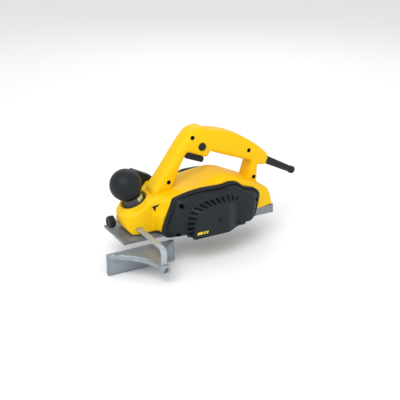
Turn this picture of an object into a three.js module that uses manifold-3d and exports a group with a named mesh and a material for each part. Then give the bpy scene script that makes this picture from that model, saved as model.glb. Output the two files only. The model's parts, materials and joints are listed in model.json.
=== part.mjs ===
// Electric hand planer: cast base with a belt-driven two-blade cutter block, adjustable front
// shoe, moulded housing and loop handle, and an edge fence clamped in the nose.
// Millimetres, +Z up. The planer cuts towards -X and its belt cover is on the -Y side.
// Places are measured from the sole's front edge, its middle and its plane. At the end the
// whole assembly is shifted so that the origin is the middle of the rear sole.
import * as THREE from 'three';
import Module from 'manifold-3d';
import { mergeVertices } from 'three/addons/utils/BufferGeometryUtils.js';
import { ConvexGeometry } from 'three/addons/geometries/ConvexGeometry.js';

const wasm = await Module();
wasm.setup();

// ---------------------------------------------------------------- driving dimensions
const planeWidth = 82;          // cutting width, and the width of both soles
const soleLength = 290;         // front edge of the shoe to the rear edge of the base
const gap = 0.3;                // between pieces that touch
const running = 0.5;            // round a piece that turns or slides

const cutRadius = 24;           // circle of the blade tips, which touches the sole plane
const cutterX = 112;

const motorX = 185;
const motorCavity = 34.5;       // radius of the space that holds the motor
const motorWall = 4.5;          // housing over that space

const baseHeight = 14.4;        // side height of the rear base
const plateThick = 4.4;         // front shoe plate
const cutDepth = 2.5;           // deepest cut, so the lift of the front shoe
const knobTilt = 25;            // degrees that the depth knob leans forward

const noseHalf = 29;            // half width of the nose
const handleHalf = 17.5;        // half width of the handle
const handleWall = 2.8;
const coverDepth = 32;          // belt cover, from the housing's side to its outer face
const coverWall = 2.4;
const bearingRadius = 11;
const bearingWidth = 7;
const shaftRadius = 5;
const barWidth = 10;            // fence bar section
const barThick = 4;
const screwRadius = 2;
const far = 400;                // past every piece, for cuts that go right through

// ---------------------------------------------------------------- tied places
const half = planeWidth / 2;
const tail = soleLength;
const drumRadius = cutRadius - 2;
const mouthRadius = cutRadius + 2;
const seat = baseHeight + gap;                  // underside of what stands on the base
const leftFace = -(half + 9);                   // housing face that carries the belt cover
const rightFace = half + 10;
const rearSoleStart = cutterX + Math.sqrt(mouthRadius ** 2 - cutRadius ** 2);
const beltY = leftFace - 9.5;                   // middle of the drive belt
const beltWidth = 9;
const drumPulleyRadius = 12;
const motorPulleyRadius = 8;
const motorZ = seat + motorCavity + 0.8;
const motorTop = motorZ + motorCavity + motorWall;
const brushRoom = motorCavity - 2.5;            // half width of the space round the brushes
const nosePlate = plateThick + cutDepth + gap;  // lowest edge of the nose

const tilt = THREE.MathUtils.degToRad(knobTilt);
const knobDir = new THREE.Vector3(-Math.sin(tilt), 0, Math.cos(tilt));
const knobRoot = new THREE.Vector3(37.6, 0, 58.5);   // where the knob's axis leaves the nose

const barX = 33.5;                              // fence bar, its leg and its clamp
const barZ = 17;
const legY = -(half + 77);
const fenceInner = noseHalf + 13;
const clampY = 17;
const clampZ = 19;

// ---------------------------------------------------------------- solids
function toSolid(geometry) {
  const bare = geometry.index ? geometry.toNonIndexed() : geometry.clone();
  for (const name of Object.keys(bare.attributes)) {
    if (name !== 'position') bare.deleteAttribute(name);
  }
  const merged = mergeVertices(bare, 1e-4);
  const corners = merged.index.array;
  const kept = [];
  for (let i = 0; i < corners.length; i += 3) {
    const [a, b, c] = [corners[i], corners[i + 1], corners[i + 2]];
    if (a !== b && b !== c && c !== a) kept.push(a, b, c);
  }
  return new wasm.Manifold(new wasm.Mesh({
    numProp: 3,
    vertProperties: new Float32Array(merged.attributes.position.array),
    triVerts: new Uint32Array(kept),
  }));
}

function toGeometry(solid) {
  const mesh = solid.getMesh();
  const geometry = new THREE.BufferGeometry();
  geometry.setAttribute('position', new THREE.BufferAttribute(mesh.vertProperties, 3));
  geometry.setIndex(new THREE.BufferAttribute(mesh.triVerts, 1));
  return geometry;
}

const join = (...solids) => solids.reduce((sum, solid) => sum.add(solid));
const cut = (solid, ...tools) => tools.reduce((rest, tool) => rest.subtract(tool), solid);

function box(x0, x1, y0, y1, z0, z1) {
  const geometry = new THREE.BoxGeometry(x1 - x0, y1 - y0, z1 - z0);
  geometry.translate((x0 + x1) / 2, (y0 + y1) / 2, (z0 + z1) / 2);
  return toSolid(geometry);
}

// Outline with rounded corners: each corner is [a, b] or [a, b, radius]. A rounding takes at
// most half of the side next to it.
function outline(corners) {
  const shape = new THREE.Shape();
  const point = (i) => new THREE.Vector2(...corners[(i + corners.length) % corners.length]);
  corners.forEach(([, , wanted = 0], i) => {
    const here = point(i);
    const before = point(i - 1).sub(here);
    const after = point(i + 1).sub(here);
    const radius = Math.min(wanted, 0.49 * before.length(), 0.49 * after.length());
    const start = here.clone().addScaledVector(before.normalize(), radius);
    const end = here.clone().addScaledVector(after.normalize(), radius);
    if (i === 0) shape.moveTo(start.x, start.y);
    else shape.lineTo(start.x, start.y);
    if (radius > 0) shape.quadraticCurveTo(here.x, here.y, end.x, end.y);
  });
  shape.closePath();
  return shape;
}

// The same corners moved inwards by a distance, for a wall of even thickness: a rounding gets
// tighter on an outward corner and wider on an inward one.
function inset(corners, distance) {
  const n = corners.length;
  const area = corners.reduce((sum, [a, b], i) => {
    const [c, d] = corners[(i + 1) % n];
    return sum + a * d - b * c;
  }, 0);
  const side = Math.sign(area);
  return corners.map(([a, b, radius = 0], i) => {
    const here = new THREE.Vector2(a, b);
    const before = new THREE.Vector2(...corners[(i + n - 1) % n]);
    const after = new THREE.Vector2(...corners[(i + 1) % n]);
    const u = here.clone().sub(before).normalize();
    const v = after.clone().sub(here).normalize();
    const normal = new THREE.Vector2(-u.y - v.y, u.x + v.x).normalize().multiplyScalar(side);
    const spread = Math.max(0.35, normal.dot(new THREE.Vector2(-u.y, u.x).multiplyScalar(side)));
    here.addScaledVector(normal, distance / spread);
    const outwards = Math.sign(u.cross(v)) * side;
    return [here.x, here.y, radius > 0 ? Math.max(0, radius - outwards * distance) : 0];
  });
}

function extrude(corners, depth, bevel = 0, steps = 3) {
  return new THREE.ExtrudeGeometry(outline(bevel > 0 ? inset(corners, bevel) : corners), {
    depth: depth - 2 * bevel,
    bevelEnabled: bevel > 0,
    bevelThickness: bevel,
    bevelSize: bevel,
    bevelSegments: 2,
    curveSegments: steps,
  }).translate(0, 0, bevel);
}

// Prisms: an outline in the named plane, between two places on the axis across it.
function prismY(corners, y0, y1, bevel, steps) {
  return toSolid(extrude(corners, y1 - y0, bevel, steps).rotateX(Math.PI / 2).translate(0, y1, 0));
}

function prismX(corners, x0, x1, bevel, steps) {
  const geometry = extrude(corners, x1 - x0, bevel, steps);
  geometry.applyMatrix4(new THREE.Matrix4().makeBasis(
    new THREE.Vector3(0, 1, 0), new THREE.Vector3(0, 0, 1), new THREE.Vector3(1, 0, 0)));
  return toSolid(geometry.translate(x0, 0, 0));
}

function prismZ(corners, z0, z1, bevel, steps) {
  return toSolid(extrude(corners, z1 - z0, bevel, steps).translate(0, 0, z0));
}

// A turned piece: profile points are [radius, distance along the axis from root].
function turned(profile, root, direction, sides = 24) {
  const points = profile.map(([r, t]) => new THREE.Vector2(r, t));
  const geometry = new THREE.LatheGeometry(points, sides);
  const turn = new THREE.Quaternion().setFromUnitVectors(new THREE.Vector3(0, 1, 0), direction);
  geometry.applyQuaternion(turn).translate(root.x, root.y, root.z);
  return toSolid(geometry);
}

const axisX = new THREE.Vector3(1, 0, 0);
const axisY = new THREE.Vector3(0, 1, 0);
const axisZ = new THREE.Vector3(0, 0, 1);
const at = (x, y, z) => new THREE.Vector3(x, y, z);
const rod = (r, t0, t1, root, direction, sides) =>
  turned([[0, t0], [r, t0], [r, t1], [0, t1]], root, direction, sides);
const ring = (r, bore, t0, t1, root, direction, sides) =>
  turned([[bore, t0], [r, t0], [r, t1], [bore, t1], [bore, t0]], root, direction, sides);
const rodY = (r, y0, y1, x, z, sides) => rod(r, y0, y1, at(x, 0, z), axisY, sides);
const ringY = (r, bore, y0, y1, x, z, sides) => ring(r, bore, y0, y1, at(x, 0, z), axisY, sides);
const rodX = (r, x0, x1, y, z, sides) => rod(r, x0, x1, at(0, y, z), axisX, sides);
const knobRod = (r, t0, t1, sides) => rod(r, t0, t1, knobRoot, knobDir, sides);

function hull(points) {
  return toSolid(new ConvexGeometry(points.map((p) => new THREE.Vector3(...p))));
}

// ---------------------------------------------------------------- materials and assembly
const planer = new THREE.Group();
const finish = {
  yellow: [0xf6b90c, 0.42, 0], black: [0x17191b, 0.55, 0], rubber: [0x1b1b1c, 0.75, 0],
  cast: [0xa9acae, 0.45, 0.9], polished: [0xd0d2d4, 0.22, 1], steel: [0x8d9196, 0.35, 1],
  laminate: [0x565a5e, 0.5, 0.9], copper: [0xb4642d, 0.4, 0.9], carbide: [0x6c7075, 0.3, 1],
  carbon: [0x26272a, 0.8, 0], grey: [0x8b8f90, 0.55, 0],
};

function add(name, solid, look) {
  const [color, roughness, metalness] = finish[look];
  const material = new THREE.MeshStandardMaterial({ color, roughness, metalness });
  const mesh = new THREE.Mesh(toGeometry(solid), material);
  mesh.name = name;
  planer.add(mesh);
}

// ---------------------------------------------------------------- rear base
// Cast base: the rear sole, cut to a lip behind the cutter, with a cheek each side of the
// cutter block that holds its bearing.
const drumSpace = half + 0.4;
const cheekRight = half + 7.5;
const cheekLeft = leftFace + 0.5;
const cheekTop = cutRadius + bearingRadius + 6;
const cheekFront = cutterX - cutRadius + 5;
const cheekOutline = [
  [cheekFront, 6, 2], [cutterX + cutRadius, 3], [cutterX + 50, 3], [cutterX + 50, baseHeight],
  [cutterX + cutRadius, cutRadius + 2, 4], [cutterX + cutRadius - 7, cheekTop, 6],
  [cheekFront + 4, cheekTop, 6], [cheekFront, cutRadius + 10, 3],
];
const pocketRows = 3;
const ribThick = 6;
const plateFloor = 5;            // thickness of the sole under the pockets
{
  const plan = [
    [cutterX + 2, -half], [tail, -half, 5], [tail, half, 5], [cutterX + 2, half],
  ];
  let base = prismZ(plan, 0, baseHeight);
  // Pockets between ribs lighten the top, with a web along the middle.
  const pocketStart = cutterX + mouthRadius + 6;
  const pocketRoom = (tail - 8 - pocketStart) / pocketRows;
  for (let i = 0; i < pocketRows; i += 1) {
    const x0 = pocketStart + i * pocketRoom;
    const x1 = x0 + pocketRoom - ribThick;
    base = base.subtract(box(x0, x1, ribThick - half, -ribThick / 2, plateFloor, far));
    base = base.subtract(box(x0, x1, ribThick / 2, half - ribThick, plateFloor, far));
  }
  const cheeks = join(
    prismY(cheekOutline, half - 6, cheekRight), prismY(cheekOutline, cheekLeft, -half + 6));
  const clearing = box(cutterX - far, cutterX + mouthRadius - 1, -drumSpace, drumSpace, -1, far);
  const aboveBase = box(cutterX - far, cutterX + far, -drumSpace, drumSpace, baseHeight, far);
  base = join(base.subtract(rodY(mouthRadius, -far, far, cutterX, cutRadius, 48)),
    cut(cheeks, clearing, aboveBase));
  base = cut(base,
    rodY(bearingRadius + gap, -far, -half, cutterX, cutRadius, 32),
    rodY(bearingRadius + gap, half, far, cutterX, cutRadius, 32));
  for (const [x, y] of [[cutterX + 42, half - 3], [cutterX + 42, 3 - half], [tail - 4, 0]]) {
    base = base.subtract(rod(screwRadius + gap, 5, 30, at(x, y, 0), axisZ, 12));
  }
  add('rear_base', base, 'cast');
}

// ---------------------------------------------------------------- front shoe
// Machined plate with a chamfering groove underneath and a boss that the depth screw lifts.
const bossRadius = 11;
const bossTop = -36;
const shoeEnd = cutterX - mouthRadius / 2;
{
  const plate = prismY([[0, 0], [shoeEnd, 0], [shoeEnd - 7, plateThick], [1, plateThick], [0, 3.4]],
    -half, half);
  const boss = knobRod(bossRadius, bossTop - 40, bossTop, 24).intersect(
    box(20, 90, -20, 20, plateThick - 1, 60));
  let shoe = join(plate, boss);
  shoe = cut(shoe,
    prismX([[-2.6, -1], [2.6, -1], [2.6, 0], [0, 2.4], [-2.6, 0]], -1, shoeEnd + 1),
    box(7, 9.5, -half - 1, half + 1, plateThick - 0.7, plateThick + 1),
    knobRod(4 + gap, -57.5, 0, 20));
  add('front_shoe', shoe, 'cast');
}

// ---------------------------------------------------------------- depth adjuster
// Ball knob on a tilted screw. The screw turns in the nose and lifts the front shoe.
const ballRadius = 26.8;
const ballAt = 31.5;
const neckRadius = 9.5;
const scaleOuter = 22.2;
{
  const profile = [[0, ballAt + ballRadius]];
  for (let i = 1; i <= 11; i += 1) {
    const angle = Math.PI / 2 - (i / 11) * 2.42;
    profile.push([ballRadius * Math.cos(angle), ballAt + ballRadius * Math.sin(angle)]);
  }
  profile.push([14, 9], [11, 5], [neckRadius, 1], [neckRadius, -6], [0, -6]);
  const knob = turned(profile.reverse(), knobRoot, knobDir, 28);
  add('depth_knob', knob.subtract(knobRod(4 + gap, -10, 18 + gap, 16)), 'black');
  add('depth_screw', knobRod(4, -54, 18, 16), 'steel');
  add('depth_scale_ring', ring(scaleOuter - gap, neckRadius + gap, -8.7, -2.5, knobRoot, knobDir, 28),
    'grey');
}

// ---------------------------------------------------------------- cutter block
// Drum with two reversible blades, each held in its slot by a clamp bar and three screws.
const bladeTurn = THREE.MathUtils.degToRad(35);
const bladeThick = 1.2;
const slotDepth = 11;
const slotWidth = 8;
const aboutCutter = new THREE.Matrix4().makeTranslation(cutterX, 0, cutRadius).multiply(
  new THREE.Matrix4().makeRotationY(-bladeTurn)).multiply(
  new THREE.Matrix4().makeTranslation(-cutterX, 0, -cutRadius));
const onDrum = (solid, index) => {
  const matrix = aboutCutter.clone();
  const spin = new THREE.Matrix4().makeTranslation(cutterX, 0, cutRadius).multiply(
    new THREE.Matrix4().makeRotationY(index * Math.PI)).multiply(
    new THREE.Matrix4().makeTranslation(-cutterX, 0, -cutRadius));
  return solid.transform(matrix.multiply(spin).elements);
};
{
  let drum = rodY(drumRadius, -half + 1, half - 1, cutterX, cutRadius, 40);
  drum = join(drum, rodY(bearingRadius - 3, -half + 0.2, half - 0.2, cutterX, cutRadius, 20),
    rodY(shaftRadius, beltY - beltWidth / 2 - 1, cheekRight - 0.5, cutterX, cutRadius, 20));
  const slot = box(cutterX - slotWidth / 2, cutterX + slotWidth / 2, -half - 0.5, half + 0.5,
    cutRadius + drumRadius - slotDepth, cutRadius + drumRadius + 5);
  for (const index of [0, 1]) drum = drum.subtract(onDrum(slot, index));
  for (const index of [0, 1]) {
    const low = cutRadius + drumRadius - slotDepth + gap;
    const bladeX = cutterX + slotWidth / 2 - gap - bladeThick;
    const blade = box(bladeX, bladeX + bladeThick, -half + 0.4, half - 0.4,
      cutRadius + cutRadius - 7, cutRadius + cutRadius - 0.3);
    const bar = box(cutterX - slotWidth / 2 + gap, bladeX - gap, -half + 1, half - 1, low,
      cutRadius + drumRadius - 0.6);
    let clamp = bar;
    for (const [j, y] of [-half * 0.65, 0, half * 0.65].entries()) {
      const foot = at(cutterX - 1, y, low + 3);
      const screw = rod(screwRadius - 0.1, gap, cutRadius + drumRadius - 1.2 - foot.z, foot, axisZ, 10);
      clamp = clamp.subtract(rod(screwRadius + gap, 0, 30, foot, axisZ, 12));
      add(`blade_screw_${index * 3 + j + 1}`, onDrum(screw, index), 'steel');
    }
    add(`blade_${index + 1}`, onDrum(blade, index), 'carbide');
    add(`blade_clamp_${index + 1}`, onDrum(clamp, index), 'steel');
  }
  add('cutter_drum', drum, 'steel');
}

const shaftBore = shaftRadius + gap;
const bearing = (y, x, z) =>
  ringY(bearingRadius, shaftBore, y - bearingWidth / 2, y + bearingWidth / 2, x, z, 20);
add('drum_bearing_left', bearing(cheekLeft + 4.2, cutterX, cutRadius), 'steel');
add('drum_bearing_right', bearing(cheekRight - 3.6, cutterX, cutRadius), 'steel');

// ---------------------------------------------------------------- belt drive
// The motor's small pulley drives the cutter's large one through a ribbed belt.
const beltThick = 1.8;
const beltSteps = 10;
const pulley = (name, x, z, r) => add(name, join(
  ringY(r, shaftBore, beltY - beltWidth / 2 - 0.2, beltY + beltWidth / 2 + 0.2, x, z, 24),
  ringY(r + 2.2, shaftBore, beltY + beltWidth / 2 + 0.2, beltY + beltWidth / 2 + 1.6, x, z, 24),
), 'steel');
pulley('drum_pulley', cutterX, cutRadius, drumPulleyRadius);
pulley('motor_pulley', motorX, motorZ, motorPulleyRadius);
{
  const run = Math.hypot(motorX - cutterX, motorZ - cutRadius);
  const rise = Math.atan2(motorZ - cutRadius, motorX - cutterX);
  const lean = Math.acos((drumPulleyRadius - motorPulleyRadius) / run);
  const loop = (extra) => {
    const points = [];
    const arc = (x, z, r, from, to) => {
      for (let i = 0; i <= beltSteps; i += 1) {
        const angle = from + ((to - from) * i) / beltSteps;
        points.push([x + r * Math.cos(angle), z + r * Math.sin(angle)]);
      }
    };
    arc(cutterX, cutRadius, drumPulleyRadius + extra, rise + lean, rise + 2 * Math.PI - lean);
    arc(motorX, motorZ, motorPulleyRadius + extra, rise - lean, rise + lean);
    return points;
  };
  const y0 = beltY - beltWidth / 2 + 0.3;
  const y1 = beltY + beltWidth / 2 - 0.1;
  add('drive_belt', prismY(loop(gap + beltThick), y0, y1).subtract(
    prismY(loop(gap), y0 - 1, y1 + 1)), 'rubber');
}

// ---------------------------------------------------------------- motor
// Armature on two bearings, with its fan at the belt end and its commutator at the other.
const coreHalf = 17;
const fanBlades = 9;
const motorMid = leftFace + 46;
const coreRadius = 18.5;
const motorSides = 32;           // facets round the stator and the space that it fits
const motorBearingRight = rightFace - 5;
const motorBearingLeft = leftFace + 4.5;
{
  const y0 = motorMid - coreHalf;
  const y1 = motorMid + coreHalf;
  const armature = turned([
    [0, beltY - beltWidth / 2 - 1], [shaftRadius, beltY - beltWidth / 2 - 1],
    [shaftRadius, y0 - 9], [12, y0 - 8], [15.5, y0 - 4], [15.5, y0], [coreRadius, y0],
    [coreRadius, y1], [15.5, y1], [15.5, y1 + 4], [12, y1 + 8], [shaftRadius, y1 + 9],
    [shaftRadius, motorBearingRight + 3], [0, motorBearingRight + 3],
  ], at(motorX, 0, motorZ), axisY, 20);
  add('armature', armature, 'copper');
  add('commutator', ringY(11, shaftBore, y1 + 10, y1 + 20, motorX, motorZ, 28), 'copper');
  const stator = ringY(motorCavity - gap, coreRadius + running, y0 + 1, y1 - 1, motorX, motorZ,
    motorSides);
  add('field_stator', stator, 'laminate');

  let fan = join(
    ringY(9, shaftBore, y0 - 19, y0 - 10, motorX, motorZ, 20),
    ringY(motorCavity - 3, 8, y0 - 19, y0 - 17, motorX, motorZ, 32));
  for (let i = 0; i < fanBlades; i += 1) {
    const blade = box(motorX + 8.5, motorX + motorCavity - 3.3, -0.7, 0.7, motorZ - 0.8, motorZ + 0.8);
    const swing = new THREE.Matrix4().makeTranslation(motorX, 0, motorZ).multiply(
      new THREE.Matrix4().makeRotationY((i * 2 * Math.PI) / fanBlades)).multiply(
      new THREE.Matrix4().makeTranslation(-motorX, 0, -motorZ));
    const vane = blade.transform(new THREE.Matrix4().makeTranslation(0, y0 - 14.2, 0).multiply(
      new THREE.Matrix4().makeScale(1, 4.2, 1)).elements);
    fan = fan.add(vane.transform(swing.elements));
  }
  add('cooling_fan', fan, 'black');

  const brushY = y1 + 15;
  for (const [name, side] of [['front', -1], ['rear', 1]]) {
    const from = (a, b) => (side > 0 ? [motorX + a, motorX + b] : [motorX - b, motorX - a]);
    const [h0, h1] = from(13, brushRoom - gap);
    const [b0, b1] = from(11.4, 24);
    const [c0, c1] = from(12, 26);
    const holder = box(h0, h1, brushY - 5, brushY + 5, motorZ - 5, motorZ + 5).subtract(
      box(c0, c1, brushY - 3.5, brushY + 3.5, motorZ - 3, motorZ + 3));
    const carbon = box(b0, b1, brushY - 3.5 + gap, brushY + 3.5 - gap,
      motorZ - 3 + gap, motorZ + 3 - gap);
    add(`brush_holder_${name}`, holder, 'black');
    add(`carbon_brush_${name}`, carbon, 'carbon');
  }
  add('motor_bearing_left', bearing(motorBearingLeft, motorX, motorZ), 'steel');
  add('motor_bearing_right', bearing(motorBearingRight, motorX, motorZ), 'steel');
}

// ---------------------------------------------------------------- main housing
// One moulding: nose over the front shoe, flare out to the belt side, motor barrel and tail.
const ductOutline = [
  [cutterX - 28, cutRadius + 26, 3], [cutterX - 29, cutRadius + 38, 3],
  [cutterX - 8, cutRadius + 41, 3], [cutterX - 4, cutRadius + 26], [cutterX - 16, cutRadius + 18],
];
const crownLeft = leftFace + 12;  // flat crown of the body, where the handle stands
const crownRight = handleHalf + 1;
const bodyStations = [           // x, crown height, left side, right side, fall of the right shoulder
  [60, 62, -noseHalf, noseHalf, 5], [84, 69, leftFace, rightFace, 4],
  [104, 72.5, leftFace, rightFace, 5], [motorX - 45, motorTop - 11, leftFace, rightFace, 9],
  [motorX - 18, motorTop - 5, leftFace, rightFace, 12], [motorX, motorTop, leftFace, rightFace, 16],
  [motorX + 20, motorTop - 5, leftFace, rightFace, 14],
  [motorX + 40, motorTop - 14.5, leftFace, rightFace, 11],
  [tail - 40, 63.5, leftFace + 4, rightFace - 4, 9], [tail - 13, 47, -half + 1, half - 1, 8],
  [tail - 7, 36, -half + 2, half - 2, 6], [tail - 2, baseHeight - 4, -half + 3, half - 3, 2],
];
const roof = [                   // side outline under the handle
  [54, -8], [54, 61], ...bodyStations.map(([x, z]) => [x, z]), [tail - 2, -8],
];
const flange = [                 // outline of the belt side, which the cover follows
  [70, 5, 5], [92, 1.5, 6], [motorX + 38, 1.5, 5], [motorX + 55, 6, 5], [motorX + 61, 26, 10],
  [motorX + 65.5, 49, 8], [motorX + 56, 60, 8], [motorX + 32, motorZ + 17, 6],
  [motorX + 20, motorZ + 29, 9], [motorX + 4, motorZ + 31.5, 6], [motorX - 8, motorZ + 28, 6],
  [136, 79, 12], [100, 74, 14], [84, 64.5, 9],
  [66, 38, 12], [61, 16, 6],
];
const collarRadius = 27;
const noseOutline = [
  [23, nosePlate], [17, 13, 4], [12.5, 25, 6], [12.5, 36, 8], [18.5, 50, 3],
  [knobRoot.x, knobRoot.z + 0.2], [60, 66, 8], [84, 70, 6], [84, nosePlate],
];
const legScrews = { legLow: [94.6, 83.9], legHigh: [139.9, 154] };
const postScrews = { postHigh: [tail - 40.2, 114.3], postLow: [tail - 28.9, 63.8] };
const coverScrews = [[85, 10], [94, 58], [motorX + 51, 8], [motorX + 54, 42]];
const panelScrew = [158, 28];
const tongueHalf = 6;
{
  let nose = prismY(noseOutline, -noseHalf, noseHalf, 0);
  const front = prismZ([
    [90, -noseHalf], [24, -noseHalf, 10], [11, -17, 8], [11, 17, 8], [24, noseHalf, 10], [90, noseHalf],
  ], 0, 90);
  // Sloping shoulders that climb from the front ridge to the root of the handle.
  const slope = (y, z0, z1) => [[0, y, z0], [90, y, z1]];
  const shoulders = hull([
    ...slope(-noseHalf, 0, 0), ...slope(noseHalf, 0, 0),
    ...slope(-noseHalf, 22, 78), ...slope(noseHalf, 22, 78),
    ...slope(-15, 38, 94), ...slope(15, 38, 94),
  ]);
  nose = nose.intersect(front).intersect(shoulders);
  nose = join(nose, knobRod(collarRadius, -40, 0, 36).intersect(box(10, 90, -40, 40, 30, 90)));

  // Body: a skin carried from station to station, with a flat crown and falling shoulders.
  const section = ([x, z, left, right, fall]) => [
    [x, left, seat - 4], [x, left, z - 7], [x, Math.max(left + 3, crownLeft), z],
    [x, Math.min(right - 3, crownRight), z], [x, right, z - fall], [x, right, seat - 4],
  ];
  const skin = bodyStations.slice(1).map((station, i) =>
    hull([...section(bodyStations[i]), ...section(station)]));
  const trunk = join(...skin).intersect(box(0, far, -far, far, seat, far));
  const flare = hull([
    ...[[62, 16], [64, 38], [84, 62], [84, 8]].flatMap(([x, z]) => [[x + 1, leftFace, z]]),
    ...[[58, 8], [58, 40], [80, 66], [90, 66], [90, 8]].map(([x, z]) => [x, -noseHalf + 2, z]),
  ]);
  const side = prismY(flange, leftFace, -noseHalf + 2);
  let housing = join(nose, trunk, flare, side);

  // Room for the base, its cheeks, the cutter and the moving shoe.
  const underBase = box(rearSoleStart - 60, far, -far, far, -far, seat);
  const underBelt = box(rearSoleStart - 60, motorX + 80, leftFace - 1, -half - gap, -far, seat + 1);
  const cheekRoom = (y0, y1) => prismY(inset(cheekOutline, -gap), y0, y1);
  const throatFront = cutterX - mouthRadius - 1;
  const throatRear = cutterX + mouthRadius + 4;
  const throat = prismY([
    [throatRear, -5], [throatRear, seat + 1], [throatRear - 4, cutRadius + 12, 6],
    [cutterX + 17, cutRadius + 28, 6], [cutterX - 10, cutRadius + 30, 6],
    [throatFront, cutRadius + 14, 6], [throatFront, -5],
  ], -half - 1, half + 1);
  const noseFloor = box(-far, cutterX - 16, -far, far, -far, nosePlate);
  const shell = join(underBase.subtract(underBelt), noseFloor,
    cheekRoom(leftFace - 2, -half), cheekRoom(half - 1, cheekRight + gap), throat);
  housing = housing.subtract(shell);

  // Hollow tail behind the motor, open underneath onto the base.
  const barrel = rodY(motorCavity + motorWall, -far, far, motorX, motorZ, motorSides);
  const tailRoom = prismY(inset(roof, 6), -half + 7, crownRight + 8).intersect(
    box(motorX, tail - 8, -far, far, 0, far)).subtract(barrel);
  const midRoom = box(throatRear + 2, motorX, -half + 3, half - 6, 0, motorZ + 10).subtract(barrel);
  housing = cut(housing, tailRoom, midRoom);

  // Motor space with a bearing wall on the left, and the brush space open on the right.
  housing = cut(housing,
    rodY(motorCavity, leftFace + 9, crownRight, motorX, motorZ, motorSides),
    box(motorX - brushRoom, motorX + brushRoom, crownRight - 1, rightFace + 5,
      motorZ - brushRoom + 6, motorZ + 18),
    rodY(bearingRadius + gap, leftFace - 5, leftFace + 20, motorX, motorZ, 28));

  // Chip duct from the cutter up and out on the right.
  housing = housing.subtract(prismY(ductOutline, 0, rightFace + 5));

  // Nose: room for the shoe's boss, the screw, the scale ring, the fence bar and its clamp.
  housing = cut(housing,
    knobRod(bossRadius + running, -70, bossTop + cutDepth / Math.cos(tilt) + 3, 24),
    knobRod(4 + running, -50, 5, 20),
    knobRod(scaleOuter, -9, 20, 36),
    box(barX - barWidth / 2 - gap, barX + barWidth / 2 + gap, -noseHalf - 5, noseHalf + 5,
      barZ - barThick / 2 - gap, barZ + barThick / 2 + gap),
    rodX(3 + running, 0, 30, clampY, clampZ, 16));

  // Tongues that the handle's feet are screwed to, and holes for the cover's screws.
  const legTongue = prismY([[84, 60], [88, 91, 2], [100, 91, 2], [99, 60]], -tongueHalf, tongueHalf);
  const postTongue = prismY([
    [tail - 35, 45], [tail - 34, 71, 2], [tail - 24, 71, 2], [tail - 24, 45],
  ], -tongueHalf, tongueHalf);
  housing = join(housing, legTongue, postTongue);
  for (const [x, z] of [legScrews.legLow, postScrews.postLow]) {
    housing = housing.subtract(rodY(screwRadius + gap, -20, 20, x, z, 12));
  }
  for (const [x, z] of coverScrews) {
    housing = housing.subtract(rodY(1.6 + gap, leftFace - 5, leftFace + 8, x, z, 12));
  }
  add('main_housing', housing, 'yellow');
}

// ---------------------------------------------------------------- handle
// Two moulded halves round the switch, screwed together and to the housing's tongues.
const handleOutline = [
  [66, 44], [66, 74, 4], [84, 95, 10], [124.5, 150, 30], [140, 166.5, 14], [160, 169, 8],
  [171, 162.5, 5], [198, 157.5, 30], [tail - 60, 145.5, 30], [tail - 27, 125.5, 30],
  [tail + 4, 99, 7], [tail - 1.5, 80, 4], [tail - 20, 84.5, 4], [tail - 21, 32],
  [tail - 50, 32], [tail - 32, 92.5, 7], [183, 121, 6], [177, 125, 4], [169, 114.5, 4],
  [131, 130, 5], [120, 112, 20], [105, 74], [96, 44],
];
const bootRoot = at(tail + 1.2, 0, 87);
const bootLean = THREE.MathUtils.degToRad(27.5);
const bootDir = at(Math.cos(bootLean), 0, -Math.sin(bootLean));
const bootRod = (r, t0, t1, sides) => rod(r, t0, t1, bootRoot, bootDir, sides);
const triggerPivot = [137, 131];
const triggerHalf = 8.2;
const lockPlace = [157.9, 135.9];
const lockRadius = 6.6;
const plungerX = 160;
const triggerOutline = [
  [133.3, 128, 2], [131, 117, 3], [164, 103.8, 3], [167.6, 110.5, 3], [163, 118.5, 2],
  [142, 134.5, 3], [134, 134.5, 3],
];
{
  const outer = prismY(handleOutline, -handleHalf, handleHalf, 5, 3);
  const inner = prismY(inset(handleOutline, handleWall), -handleHalf + handleWall,
    handleHalf - handleWall, 0, 2);
  const rests = join(prismY(inset(roof, -gap), -far, far),
    prismY(inset(noseOutline, -gap), -far, far), knobRod(collarRadius + gap, -60, 0.4, 36));
  let shell = cut(outer, inner);
  const screws = [...Object.values(legScrews), ...Object.values(postScrews)];
  for (const [x, z] of screws) {
    const bossY = (y0, y1) => rodY(5.2, y0, y1, x, z, 16);
    const clear = z < 100 ? tongueHalf + gap : -1;
    shell = join(shell, bossY(-handleHalf + 1, -clear), bossY(clear, handleHalf - 1));
  }
  shell = cut(shell, rests);
  for (const [x, z] of screws) {
    shell = cut(shell, rodY(screwRadius + gap, -30, 13, x, z, 12), rodY(3.7, -30, -9, x, z, 16));
  }
  // Trigger slot, lock button hole, pin holes and the way out for the cord.
  const slot = prismY([
    [131.6, 134], [129.5, 112], [170, 96], [171, 119], [152, 126],
  ], -triggerHalf - running, triggerHalf + running);
  shell = cut(shell, slot,
    rodY(lockRadius + 0.4, -30, 0, ...lockPlace, 24),
    rodY(1.5 + gap, -handleHalf + 1.2, handleHalf - 1.2, ...triggerPivot, 12),
    bootRod(7.6, -20, 20, 18), bootRod(9.3, -9.3, -2.7, 22));
  add('handle_left', shell.intersect(box(0, far, -far, -gap / 2, 0, far)), 'yellow');
  add('handle_right', shell.intersect(box(0, far, gap / 2, far, 0, far)), 'yellow');

  for (const [name, [x, z]] of Object.entries({ ...legScrews, ...postScrews })) {
    const screw = join(rodY(3.3, -11.6, -9 - gap, x, z, 12), rodY(screwRadius, -10, 12, x, z, 12));
    add(`handle_screw_${name}`, screw, 'steel');
  }
}

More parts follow.
